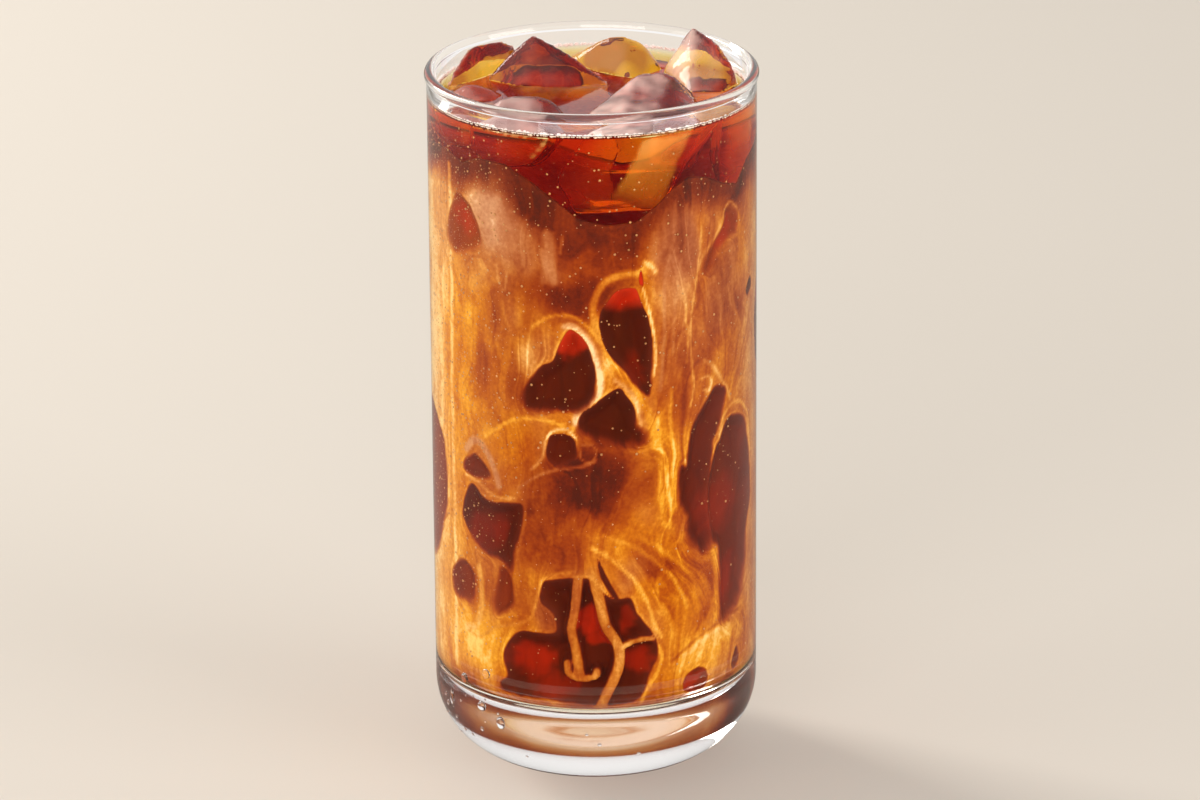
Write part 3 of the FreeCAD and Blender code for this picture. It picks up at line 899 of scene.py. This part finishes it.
def ellipse(across, height, patch):
    """0 at a patch's middle, 1 on its edge, and more outside it."""
    middle, level, half_width, half_height, lean = patch
    x, z = near(across, middle) - middle, height - level
    lean = radians(lean)
    u = (x * cos(lean) + z * sin(lean)) / half_width
    v = (z * cos(lean) - x * sin(lean)) / half_height
    return u * u + v * v


def spread(across, height, patch):
    """1 at a patch's middle, falling to 0 beyond its edge."""
    return np.exp(-ellipse(across, height, patch) ** 1.5)


def crest_over(across):
    """How high the cream reaches up the wall at each place round it."""
    places, heights = np.array(CREST, float).T
    return np.interp(near(across, 0), places, heights)


def teardrop(across, height, wide, tall, lean, rng):
    """The outline of a window: pointed at the top, round and uneven below."""
    outline = []
    first, second, third = rng.uniform(0, 2 * pi, 3)
    for k in range(16):
        turn = 2 * pi * k / 16
        uneven = 1 + 0.20 * sin(2 * turn + first) + 0.14 * sin(3 * turn + second)
        x = sin(turn) * (0.58 - 0.28 * cos(turn)) * uneven * wide
        z = cos(turn) * (1 + 0.08 * sin(3 * turn + third)) * tall / 2
        outline.append((across - x + lean * z, height + z))
    return outline


def far_marbling():
    """Windows, threads and glows of the same kinds for the wall's sides and back."""
    rng = np.random.default_rng(5)
    windows, threads, glows = [], [], []
    for across, height, wide, tall, lean in FAR_WINDOWS:
        outline = teardrop(across, height, wide, tall, lean, rng)
        soft, rim, tone = rng.uniform(0.8, 2.0), rng.uniform(0.5, 1.0), rng.uniform(0.04, 0.30)
        windows.append((outline, 0.3, soft, min(4.5, wide / 2.4), rim, tone))
        side = outline[9:16] if rng.random() < 0.5 else outline[1:8]
        for closest, farthest, rise, widest, cream, gold, grey, strength in FAR_THREADS:
            points = []
            for x, z in side:
                away = rng.uniform(closest, farthest) * (1 if x > across else -1)
                points.append((x + away, z + rise))
            threads.append((points, rng.uniform(0.3, widest), cream, gold, grey, strength))
        if wide > 8:
            middle = across + rng.uniform(-0.1, 0.1) * wide
            level = height + rng.uniform(-0.2, 0.25) * tall
            glows.append((middle, level, wide * rng.uniform(0.18, 0.3), tall * rng.uniform(0.1, 0.2), 0,
                          0.6, "ragged"))
    return windows, threads, glows


def find_currents(across, height, cylinder):
    """How the currents in the drink push edges and patches about at each place."""
    wobble, swirl = make_clouds(11), make_clouds(12)
    squeezed = cylinder * np.array([1, 1, 0.55])
    flow = SimpleNamespace()
    flow.slow_x = swirl(squeezed / SLOW_CURRENT)
    flow.slow_z = swirl(squeezed / SLOW_CURRENT + 40)
    flow.quick_x = swirl(squeezed / QUICK_CURRENT + 80)
    flow.quick_z = swirl(squeezed / QUICK_CURRENT + 120)
    flow.fine_x = wobble(cylinder / FINE_CURRENT)
    flow.fine_z = wobble(cylinder / FINE_CURRENT + 60)
    flow.edge_across = across + 0.3 * flow.quick_x + 0.12 * flow.fine_x
    flow.edge_height = height + 0.3 * flow.quick_z + 0.12 * flow.fine_z
    flow.soft_across = across + 2.0 * flow.slow_x + 1.6 * flow.quick_x + 0.5 * flow.fine_x
    flow.soft_height = height + 3.0 * flow.slow_z + 2.0 * flow.quick_z + 0.5 * flow.fine_z
    return flow


def stir_cream(across, height, flow, threads):
    """How much cream there is at each place, how golden it is and how grey."""
    cream = 0.62 + 0.20 * flow.slow_x + 0.12 * flow.quick_x
    gold = 0.85 + 0.4 * flow.slow_z
    grey = np.clip(0.10 + 0.5 * flow.quick_z, 0, 1)
    for *patch, patch_cream, patch_gold, patch_grey, strength in PATCHES:
        share = strength * spread(flow.soft_across, flow.soft_height, patch)
        cream = blended(cream, patch_cream + 0.10 * flow.quick_x, share)
        gold = blended(gold, patch_gold, share)
        grey = blended(grey, patch_grey, share)

    # The cream thins out into clear coffee under the crest.
    crest = crest_over(across)
    thin = ramp(height + 1.5 * flow.quick_z, crest - 9, crest - 1)
    cream = blended(cream, 0.16 + 0.05 * flow.quick_x, thin)
    gold = gold * (1 - thin)
    grey = grey * (1 - 0.8 * thin)

    for points, half_width, thread_cream, thread_gold, thread_grey, strength in threads:
        _, at, distance = beside(points, False, 6, across, height, flow)
        share = strength * (1 - ramp(distance, 0.35 * half_width, 1.35 * half_width))
        cream[at] = blended(cream[at], thread_cream, share)
        gold[at] = blended(gold[at], thread_gold, share)
        grey[at] = blended(grey[at], thread_grey, share)
    return cream, gold, grey


def open_windows(across, height, flow, windows):
    """The windows' fields: edge, distance, pale rim, tone and depth."""
    edge = np.full(across.shape, EDGE_LIMIT)
    shore = np.full(across.shape, 8.0)
    rim = np.zeros(across.shape)
    tone = np.full(across.shape, 0.1)
    sunk = np.zeros(across.shape)
    for outline, soft_top, soft_bottom, depth, pale_rim, dark in windows:
        path, at, signed = beside(outline, True, 9, across, height, flow)
        low, high = path[:, 1].min(), path[:, 1].max()
        part = np.clip((height[at] - low) / (high - low), 0, 1)
        soft = blended(soft_bottom, soft_top, ramp(part, 0.05, 0.55))
        ring = np.exp(-((signed - 0.35) / 0.35) ** 2)
        tone[at] = np.where(signed < shore[at], dark, tone[at])
        edge[at] = np.minimum(edge[at], np.clip(signed / soft, -EDGE_LIMIT, EDGE_LIMIT))
        shore[at] = np.minimum(shore[at], signed)
        rim[at] = np.maximum(rim[at], pale_rim * ramp(part, 0.2, 0.8) * ring)
        sunk[at] = np.maximum(sunk[at], 0.6 * depth * ramp(-signed, -0.2, 0.8 * depth))
    return edge, shore, rim, tone, sunk


def light_glows(across, flow, glows):
    """The red light inside the windows."""
    ragged_across = flow.soft_across + 1.1 * flow.quick_z + 0.8 * flow.fine_x
    ragged_height = flow.edge_height + 1.6 * flow.quick_x + 0.8 * flow.fine_z
    glow = np.zeros(across.shape)
    for *patch, strength, kind in glows:
        if kind == "crisp":
            far = ellipse(flow.soft_across, flow.edge_height, patch)
        else:
            far = ellipse(ragged_across, ragged_height, patch)
        heart = 0.0 if kind == "soft" else 0.4
        glow = np.maximum(glow, strength * (1 - ramp(far, heart, 1.6)))
    return glow


def paint(across, height, cylinder):
    """The cream's fields at places on the wall; cylinder holds the same places in space, in millimetres."""
    far_windows, far_threads, far_glows = far_marbling()
    flow = find_currents(across, height, cylinder)
    cream, gold, grey = stir_cream(across, height, flow, THREADS + far_threads)
    windows = list(WINDOWS.values()) + far_windows
    edge, shore, rim, tone, sunk = open_windows(across, height, flow, windows)
    for points, half_width in BRIDGES:
        _, at, distance = beside(points, False, 4, across, height, flow)
        depth = half_width - distance
        share = ramp(depth, -0.8, -0.2)
        edge[at] = np.maximum(edge[at], np.clip(depth / 0.25, -EDGE_LIMIT, EDGE_LIMIT))
        cream[at] = blended(cream[at], 0.60 + 0.1 * ramp(depth, 0, half_width), share)
        gold[at] = blended(gold[at], 0.35, share)
        sunk[at] = sunk[at] * (1 - ramp(depth, -0.7, 0.1))
    combed = np.zeros(across.shape)
    for *patch, amount in COMBED:
        combed = np.maximum(combed, amount * spread(flow.soft_across, flow.soft_height, patch))

    # Streaks run up the wall, lie along the windows' edges beside them, and lean where the cream falls.
    close = np.exp(-np.clip(shore, 0, 8) / 2.2)
    turn = (across + 2.6 * flow.slow_x + 1.3 * flow.quick_x + 3.0 * close) / WALL
    turn = turn + spread(across, height, FALL) * 0.7 * (height - 45) / WALL
    lift = height * 0.26 + 2.2 * flow.slow_z + 1.0 * flow.quick_z + 3 * close
    return {
        "cream": cream, "gold": np.clip(gold, 0, 1.2), "grey": np.clip(grey, 0, 1), "edge": edge,
        "rim": rim, "tone": tone, "glow": light_glows(across, flow, GLOWS + far_glows), "combed": combed,
        "sunk": sunk, "streak": round_axis(WALL, turn, lift),
    }


# ---------------------------------------------------------------- the cream in the coffee: its body
# How the cream's colours run from clear coffee to thick cream, where it is golden, tan or grey.
CREAM_PLACES = (0.0, 0.12, 0.26, 0.40, 0.55, 0.70, 0.86, 1.0)
GOLDEN = [(74, 20, 10), (94, 24, 8), (124, 38, 6), (150, 56, 4),
          (178, 84, 4), (207, 120, 8), (238, 166, 40), (254, 212, 130)]
TAN = [(78, 24, 16), (98, 28, 12), (126, 42, 12), (148, 62, 16),
       (170, 86, 28), (194, 118, 50), (226, 162, 92), (252, 216, 168)]
FOGGY = [(84, 34, 28), (106, 42, 30), (132, 58, 38), (152, 76, 50),
         (170, 96, 68), (190, 122, 94), (216, 160, 132), (252, 222, 204)]


def make_cream_material():
    """Cream in coffee: dark where it is thin, tan and gold where it is thick, in fine streaks."""
    material, tree, output = new_material("cream in coffee")
    place, streak, combed = own_place(tree), field(tree, "streak", "Vector"), field(tree, "combed")

    def times(a, b, **settings):
        return maths(tree, "MULTIPLY", a, b, **settings)

    def plus(a, b):
        return maths(tree, "ADD", a, b)

    def minus(a, b, **settings):
        return maths(tree, "SUBTRACT", a, b, **settings)

    def scaled(value, factor, added):
        return maths(tree, "MULTIPLY_ADD", value, factor, added)

    def stir(base, texture, amount):
        return plus(base, times(minus(texture, 0.5), amount))

    def filaments(scale, distortion, thinness):
        """1 along fine wandering lines, and 0 between them."""
        off_line = maths(tree, "ABSOLUTE", minus(cloudy(tree, streak, scale, 2, 0.5, distortion), 0.5))
        return minus(1.0, times(off_line, thinness), clamp=True)

    def cream_ramp(colours):
        ramp_node = add(tree, "ShaderNodeValToRGB", {"Fac": amount}).node
        stops = ramp_node.color_ramp.elements
        while len(stops) < len(colours):
            stops.new(0.5)
        for stop, position, colour in zip(stops, CREAM_PLACES, colours):
            stop.position = position
            stop.color = shade(*colour)
        return ramp_node.outputs["Color"]

    broad = cloudy(tree, streak, 0.16, 3, 0.5, 0.8)
    streaks = cloudy(tree, streak, 0.42, 4, 0.55, 0.5)
    threads = cloudy(tree, streak, 1.5, 3, 0.55, 0.4)
    mottle = cloudy(tree, place, 330, 3, 0.6, 0.3)
    specks = cloudy(tree, place, 1300, 1, 0.5)
    stirred = stir(field(tree, "cream"), broad, 0.40)
    stirred = stir(stirred, streaks, scaled(combed, 0.60, 0.10))
    stirred = stir(stirred, threads, scaled(combed, 0.20, 0.03))
    stirred = stir(stirred, mottle, scaled(combed, -0.14, 0.20))
    stirred = stir(stirred, specks, 0.22)
    pale_lines = times(filaments(0.13, 0.6, 20.0), scaled(combed, 0.11, 0.06))
    dark_lines = times(filaments(0.11, 0.8, 18.0), scaled(combed, 0.10, 0.09))
    fine_lines = times(filaments(0.34, 0.5, 11.0), scaled(combed, 0.09, 0.01))
    stirred = plus(stirred, minus(plus(pale_lines, fine_lines), dark_lines))
    stirred = plus(stirred, times(field(tree, "rim"), 0.22))

    # Inside a window's ragged edge there is only the window's own dark tone.
    ragged = scaled(minus(streaks, 0.5), 1.6, field(tree, "edge"))
    outside = levels(tree, ragged, -1.0, 1.0, slope="SMOOTHSTEP")
    dark = scaled(minus(streaks, 0.5), 0.22, field(tree, "tone"))
    amount = mixed_value(tree, outside, dark, stirred)

    golden, tan, foggy = cream_ramp(GOLDEN), cream_ramp(TAN), cream_ramp(FOGGY)
    colour = mixed(tree, field(tree, "gold"), tan, golden)
    colour = mixed(tree, field(tree, "grey"), colour, foggy)
    lit = times(field(tree, "glow"), minus(1.0, outside))
    lit = times(lit, scaled(streaks, 1.4, 0.3), clamp=True)
    colour = mixed(tree, lit, colour, shade(196, 44, 16))
    body = matt(tree, colour, 0.6, 0.1)
    tree.links.new(body, output.inputs["Surface"])
    return material


def core_rows(turns, gap):
    """The core's outer skin as rows of radii and heights: its floor, its round corner and its wall."""
    level = 0 * turns
    shoulder = CORE_FLOOR + CORE_CORNER
    reach = CORE_CORNER - gap
    rows = [(25 * share + level, CORE_FLOOR + gap) for share in (0.25, 0.5, 0.75, 0.92)]
    for t in np.linspace(0, pi / 2, 9)[1:]:
        rows.append((WALL - CORE_CORNER + reach * sin(t), shoulder - reach * cos(t)))
    for z in np.linspace(shoulder, CORE_TOP, WALL_ROWS)[1:]:
        rows.append((WALL - gap, z + level))
    r, z = np.array(rows).transpose(1, 0, 2)
    crest = crest_over(turns[None, :] * WALL)
    lifted = CORE_SHOULDER + (z - CORE_SHOULDER) * (crest - CORE_SHOULDER) / (CORE_TOP - CORE_SHOULDER)
    return r, np.where(z > CORE_SHOULDER, lifted, z), crest[-1]


def top_rows(turns, gap, crest, hills):
    """The core's top, which falls from the crest in to an uneven middle."""
    rows = []
    for t in np.linspace(0, 1, TOP_ROWS)[1:-1]:
        back_from_wall = 0.5 + (WALL - 1) * t ** 1.3
        radius = WALL - gap * (1 - t) - back_from_wall
        place = round_axis(radius, turns, 0)
        level = CORE_LEVEL + 2.4 * hills(place / 9) + 1.0 * hills(place / 3.5 + 30)
        rows.append((radius, level + (crest - level) * np.exp(-((back_from_wall / 3.0) ** 2))))
    return np.array(rows).transpose(1, 0, 2)


def make_core():
    """The body of coffee and cream: an uneven cylinder with windows sunk into its wall, finest in front."""
    front = np.linspace(-FRONT_SIDE, FRONT_SIDE, FRONT_COLUMNS, endpoint=False)
    back = np.linspace(FRONT_SIDE, ROUND - FRONT_SIDE, BACK_COLUMNS, endpoint=False)
    turns = np.concatenate([front, back]) / WALL
    gap = CORE_GAP - 0.36 * ramp(-np.cos(turns), 0.55, 0.85)
    hills = make_clouds(21)
    wall_r, wall_z, crest = core_rows(turns, gap)
    top_r, top_z = top_rows(turns, gap, crest, hills)
    r, z = np.concatenate([wall_r, top_r]), np.concatenate([wall_z, top_z])
    across = turns[None, :] * WALL + 0 * r

    cylinder = round_axis(WALL, across / WALL, z)
    fields = paint(across, z, cylinder)
    top = np.arange(len(r))[:, None] >= len(wall_r)
    for name, plain in TOP_FIELDS.items():
        fields[name] = np.where(top, plain, fields[name])
    fields["cream"] = np.where(top, 0.84 + 0.3 * hills(cylinder / 8), fields["cream"])
    fields["streak"] = fields["streak"] * np.where(top, r / WALL, 1)[..., None]
    relief = 0.25 * (1 - np.clip(fields["cream"], 0, 1)) + fields.pop("sunk")
    r = r - np.where(top, 0, ramp(r, WALL - CORE_CORNER, WALL - 1) * relief)

    points = round_axis(r, turns, z).reshape(-1, 3) * MM
    lowest = (0, 0, (CORE_FLOOR + CORE_GAP) * MM)
    highest = (0, 0, float(z[-1].mean()) * MM)
    faces = closed_skin(len(turns), len(r))
    core = new_piece("coffee_and_cream", [lowest, *points, highest], faces, make_cream_material())
    for name, values in fields.items():
        flat = values.reshape(len(points), -1)
        flat = np.concatenate([flat[:1], flat, flat[-1:]]).astype(np.float32)
        set_values(core.data, name, flat.ravel())
    return finished(core, slot="coffee")


# ---------------------------------------------------------------- bubbles, froth painted as a highlight, dew and drops
BEAD_INPUTS = {
    "Geometry": ["Geometry"],
    "Float": ["Density", "Spacing", "Smallest", "Largest", "Flatness", "Lift"],
    "Int": ["Seed", "Segments", "Rings"],
    "Material": ["Material"],
}
BEAD_COLUMNS = 140


def make_bead_tree():
    """Geometry nodes that sit small round beads of uneven size on a surface."""
    tree = bpy.data.node_groups.new("beads", "GeometryNodeTree")
    tree.interface.new_socket("Geometry", in_out="OUTPUT", socket_type="NodeSocketGeometry")
    for kind, names in BEAD_INPUTS.items():
        for name in names:
            tree.interface.new_socket(name, in_out="INPUT", socket_type="NodeSocket" + kind)
    given = tree.nodes.new("NodeGroupInput").outputs
    wanted = add(tree, "GeometryNodeInputNamedAttribute", {"Name": "wanted"}, "Attribute",
                 data_type="FLOAT")
    points = add(tree, "GeometryNodeDistributePointsOnFaces", {
        "Mesh": given["Geometry"], "Distance Min": given["Spacing"], "Density Max": given["Density"],
        "Density Factor": wanted, "Seed": given["Seed"]}, distribute_method="POISSON").node.outputs

    # Most beads are small, and a few are large.
    chance = add(tree, "FunctionNodeRandomValue", {"Seed": given["Seed"]}, 1, data_type="FLOAT")
    range_of_sizes = maths(tree, "SUBTRACT", given["Largest"], given["Smallest"])
    mostly_small = maths(tree, "POWER", chance, 4.0)
    size = maths(tree, "ADD", given["Smallest"], maths(tree, "MULTIPLY", range_of_sizes, mostly_small))
    thickness = maths(tree, "MULTIPLY", size, given["Flatness"])
    scale = add(tree, "ShaderNodeCombineXYZ", {"X": size, "Y": size, "Z": thickness})

    bead = add(tree, "GeometryNodeMeshUVSphere", {
        "Radius": 1.0, "Segments": given["Segments"], "Rings": given["Rings"]}, "Mesh")
    offset = add(tree, "ShaderNodeCombineXYZ", {"Z": given["Lift"]})
    raised = add(tree, "GeometryNodeTransform", {"Geometry": bead, "Translation": offset})
    placed = add(tree, "GeometryNodeInstanceOnPoints", {
        "Points": points["Points"], "Instance": raised, "Rotation": points["Rotation"], "Scale": scale})
    joined = add(tree, "GeometryNodeRealizeInstances", {"Geometry": placed})
    painted = add(tree, "GeometryNodeSetMaterial", {"Geometry": joined, "Material": given["Material"]})
    tree.links.new(painted, tree.nodes.new("NodeGroupOutput").inputs[0])
    return tree


def make_beads(name, radius, places, material, slot, tree, low=0.5 * MM, high=RIM_HEIGHT - 4 * MM, rows=60,
               **sizes):
    """Beads on a band of wall, whose radius and wanted share of beads two functions give."""
    vertices, wanted, faces = [], [], []
    for row in range(rows):
        height = low + (high - low) * row / (rows - 1)
        for column in range(BEAD_COLUMNS):
            turn = 2 * pi * column / BEAD_COLUMNS
            vertices.append((radius(height) * sin(turn), -radius(height) * cos(turn), height))
            wanted.append(places(near(turn * WALL, 0), height / MM))
            after = (column + 1) % BEAD_COLUMNS
            a, b = row * BEAD_COLUMNS, (row + 1) * BEAD_COLUMNS
            if row < rows - 1:
                faces.append((a + column, a + after, b + after, b + column))
    beads = new_piece(name, vertices, faces, material)
    set_values(beads.data, "wanted", wanted)
    modifier = beads.modifiers.new("beads", "NODES")
    modifier.node_group = tree
    settings = {"Material": material} | {key.capitalize(): value for key, value in sizes.items()}
    for item in tree.interface.items_tree:
        if item.in_out == "INPUT" and item.name in settings:
            modifier[item.identifier] = settings[item.name]
    made_plain(beads).shade_smooth()
    return finished(beads, slot=slot)


def make_bead_highlight_material(name, dark, light):
    """The opaque skin of bubbles and froth: painted pale as their highlights, and darker in places as their
    shaded edges.
    """
    material, tree, output = new_material(name)
    colour = mixed(tree, cloudy(tree, own_place(tree), 500), dark, light)
    tree.links.new(matt(tree, colour, 0.3, 0.5), output.inputs["Surface"])
    return material


def bubbles_wanted(across, height):
    """Bubbles cling all over the drink's wall, and most of all on the left."""
    if not CORE_FLOOR + 8 < height < DRINK_LEVEL / MM - 1:
        return 0.0
    left = exp(-((across + 38) / 16) ** 2)
    upper = 0.4 + 0.6 * float(ramp(height, 40, 110))
    return (0.13 + 0.87 * left) * upper


def froth_highlight_wanted(across, height):
    """Pale froth, a painted highlight of the drink's edge, lies all round it."""
    return 1.0


def dew_wanted(across, height):
    """Dew gathers low on the left of the glass."""
    return exp(-((height - 16) / 9) ** 2) * exp(-((across + 34) / 12) ** 2)


def inner_radius_at(height):
    """How far a bubble on the drink's wall is from the axis."""
    return BORE_RADIUS - 0.02 * MM


def glass_radius_at(height):
    """How far the glass's outside is from the axis."""
    if height >= HEEL_RADIUS:
        return GLASS_RADIUS
    return GLASS_RADIUS - HEEL_RADIUS + (HEEL_RADIUS ** 2 - (HEEL_RADIUS - height) ** 2) ** 0.5


def make_bubbles_and_dew(dew_material):
    """Froth round the drink's edge, painted pale as its highlight, bubbles on its wall, painted light and
    dark, and dew on the glass.
    """
    tree = make_bead_tree()
    # The bubbles are painted pale and dark at random, in place of their highlights and dark edges.
    bubble_highlight_skin = make_bead_highlight_material("bubbles on the wall", shade(140, 66, 26), shade(244, 190, 128))
    froth_highlight_skin = make_bead_highlight_material("froth at the edge as painted highlight", shade(236, 200, 184), shade(255, 248, 244))
    # A pale ring of froth beads paints the highlight along the meniscus.
    make_beads("edge_froth_highlight", inner_radius_at, froth_highlight_wanted, froth_highlight_skin, "coffee", tree,
               DRINK_LEVEL + 0.85 * MM, DRINK_LEVEL + 1.25 * MM, 3,
               density=2.2e7, spacing=0.26 * MM, smallest=0.22 * MM, largest=0.50 * MM, flatness=0.5,
               lift=-1.0, seed=5, segments=8, rings=6)
    make_beads("wall_bubbles", inner_radius_at, bubbles_wanted, bubble_highlight_skin, "coffee", tree,
               density=1.85e6, spacing=0.5 * MM, smallest=0.07 * MM, largest=0.31 * MM, flatness=0.6,
               lift=-1.0, seed=3, segments=6, rings=4)
    make_beads("dew", glass_radius_at, dew_wanted, dew_material, "glass", tree,
               density=9.0e4, spacing=1.6 * MM, smallest=0.25 * MM, largest=1.2 * MM, flatness=0.5,
               lift=0.1, seed=8, segments=16, rings=10)


# Large drops low on the glass: (across, height, half width, half height), all in millimetres.
DROPS = [(-20.9, 15.6, 1.1, 1.5), (-36.5, 16.8, 0.8, 1.9), (-26.5, 12.5, 0.5, 0.6), (-31.0, 9.5, 0.4, 0.5),
         (0.6, 13.0, 0.45, 0.4), (-2.0, 15.5, 0.35, 0.3), (-16.0, 8.0, 0.4, 0.3), (9.0, 10.0, 0.5, 0.35)]
DROP_FLATNESS = 0.4


def make_drops(material):
    """Flat round drops that cling to the outside of the glass."""
    work = bmesh.new()
    for across, height, half_width, half_height in DROPS:
        turn = across / WALL
        out = glass_radius_at(height * MM)
        slope = max(0.0, 1 - height * MM / HEEL_RADIUS)
        level = (1 - slope ** 2) ** 0.5
        outward = Vector((sin(turn) * level, -cos(turn) * level, -slope))
        sideways = Vector((cos(turn), sin(turn), 0))
        upward = outward.cross(sideways)
        place = Matrix((sideways * half_width * MM, upward * half_height * MM,
                        outward * DROP_FLATNESS * half_width * MM)).transposed().to_4x4()
        place.translation = Vector((out * sin(turn), -out * cos(turn), height * MM))
        bmesh.ops.create_icosphere(work, subdivisions=3, radius=1.0, matrix=place)
    bmesh.ops.recalc_face_normals(work, faces=work.faces)
    mesh = bpy.data.meshes.new("large_drops")
    work.to_mesh(mesh)
    work.free()
    mesh.shade_smooth()
    mesh.materials.append(material)
    return finished(linked("large_drops", mesh), slot="glass")


# ---------------------------------------------------------------- stage, lamps, camera
FLOOR_COLOUR = (0.70, 0.652, 0.59)
FLOOR_SEEN_THROUGH = (0.86, 0.78, 0.68, 1)
FLOOR_HALF = 4.0
ROOM_LIGHT = (1.0, 0.97, 0.93, 1)
ROOM_SEEN = (1.0, 0.98, 0.96, 1)

# name: (place, width and height, power in watts, colour, whether it is mirrored); all face the same point
LAMP_AIM = (0, 0, 0.08)
LAMPS = {
    "window": ((-0.95, 0.80, 0.85), (0.4, 0.9), 14, (1.0, 0.95, 0.88), True),
    "fill": ((-0.5, -1.8, 0.6), (1.6, 1.0), 22, (1.0, 0.98, 0.96), False),
    "left_fill": ((-1.7, -0.5, 0.6), (0.8, 1.0), 4, (1.0, 0.97, 0.94), False),
    "right_fill": ((1.6, -0.9, 0.6), (1.2, 1.0), 16, (1.0, 0.97, 0.94), False),
}
LIGHT_BOUNCES = 32

CAMERA_ELEVATION = radians(19.83)
CAMERA_ROLL = radians(-0.44)
CAMERA_DISTANCE = 1.3405
CAMERA_LENS = 186.4
CAMERA_SHIFT = (0.0049, 0.0074)


def dimmed_in_mirrors(tree, colour, position, front, side):
    """A colour that mirrors see darker, by one share in front of the glass and another beside it."""
    _, flat = apart(tree, position)
    heading, _ = apart(tree, add(tree, "ShaderNodeVectorMath", {0: flat}, operation="NORMALIZE"))
    dimmed = levels(tree, heading["Y"], -0.75, -0.2, front, side, "SMOOTHSTEP")
    share = mixed_value(tree, is_ray(tree, "Glossy"), 1.0, dimmed)
    return add(tree, "ShaderNodeVectorMath", {0: colour, "Scale": share}, operation="SCALE")


def make_stage():
    """A plain pale floor, whose colour doesn't change with its shadows where it is seen through glass."""
    material, tree, output = new_material("pale floor")
    colour = dimmed_in_mirrors(tree, FLOOR_COLOUR, own_place(tree), 0.12, 0.5)
    body = matt(tree, colour, 0.6, 0.1)
    seen_through = add(tree, "ShaderNodeEmission", {"Color": FLOOR_SEEN_THROUGH})
    skin = mixed_skin(tree, is_ray(tree, "Transmission"), body, seen_through)
    tree.links.new(skin, output.inputs["Surface"])
    corners = [(x * FLOOR_HALF, y * FLOOR_HALF, 0) for x, y in ((-1, -1), (1, -1), (1, 1), (-1, 1))]
    new_piece("floor", corners, [(0, 1, 2, 3)], material)


def make_lamp(name, place, size, power, colour, mirrored):
    """A rectangular lamp that faces the glass."""
    data = bpy.data.lights.new(name, "AREA")
    data.shape = "RECTANGLE"
    data.size, data.size_y = size
    data.energy = power
    data.color = colour
    lamp = linked(name, data)
    lamp.visible_glossy = mirrored
    lamp.location = place
    lamp.rotation_euler = (Vector(LAMP_AIM) - Vector(place)).to_track_quat("-Z", "Y").to_euler()


def make_world():
    """A room that lights the glass softly, and looks white where it is seen, mirrored or seen through."""
    world = bpy.data.worlds.new("studio")
    bpy.context.scene.world = world
    world.use_nodes = True
    tree = world.node_tree
    tree.nodes.clear()
    light = add(tree, "ShaderNodeBackground", {"Color": ROOM_LIGHT, "Strength": 0.5})
    seen = add(tree, "ShaderNodeBackground", {"Color": ROOM_SEEN, "Strength": 1.0})
    room = mixed_skin(tree, is_ray(tree, "Camera", "Glossy", "Transmission"), light, seen)
    tree.links.new(room, tree.nodes.new("ShaderNodeOutputWorld").inputs["Surface"])


def make_camera():
    """A long lens, a good metre away and looking down at the glass by a fifth of a right angle."""
    back = Vector((0, -cos(CAMERA_ELEVATION), sin(CAMERA_ELEVATION)))
    right = Vector((1, 0, 0))
    up = back.cross(right)
    data = bpy.data.cameras.new("camera")
    data.lens = CAMERA_LENS
    data.sensor_width = 36
    data.shift_x, data.shift_y = CAMERA_SHIFT
    turned_right = right * cos(CAMERA_ROLL) + up * sin(CAMERA_ROLL)
    turned_up = up * cos(CAMERA_ROLL) - right * sin(CAMERA_ROLL)
    place = Matrix((turned_right, turned_up, back)).transposed().to_4x4()
    place.translation = Vector((0, 0, RIM_HEIGHT / 2)) + back * CAMERA_DISTANCE
    camera = linked("camera", data)
    camera.matrix_world = place
    bpy.context.scene.camera = camera


make_camera()
make_stage()
make_world()
for lamp_name, settings in LAMPS.items():
    make_lamp(lamp_name, *settings)

make_glass()
wet_ice = make_ice_material("wet ice", ICE_IOR, 0.03, (0.46, 0.13, 0.018, 1), (0.95, 0.50, 0.03, 1), 0.35)
sunk_ice = make_ice_material("sunk ice", SUNK_ICE_IOR, 0.0, (1.0, 0.84, 0.6, 1), (1.0, 0.94, 0.8, 1), 0)
lumps = [melted_lump(node_name, wet_ice) for node_name in ICE_NODES]
make_coffee(lumps, make_coffee_material())
for node_name, lump in zip(ICE_NODES, lumps):
    finish_lump(lump, node_name, sunk_ice)
make_core()
dew_material = make_clear_material("dew", polished, WATER_IOR)
make_bubbles_and_dew(dew_material)
make_drops(dew_material)

cycles = bpy.context.scene.cycles
cycles.caustics_refractive = False
cycles.max_bounces = LIGHT_BOUNCES
cycles.transmission_bounces = LIGHT_BOUNCES
cycles.transparent_max_bounces = LIGHT_BOUNCES

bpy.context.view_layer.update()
bpy.context.view_layer.update()
bpy.context.scene.view_settings.view_transform = "Standard"
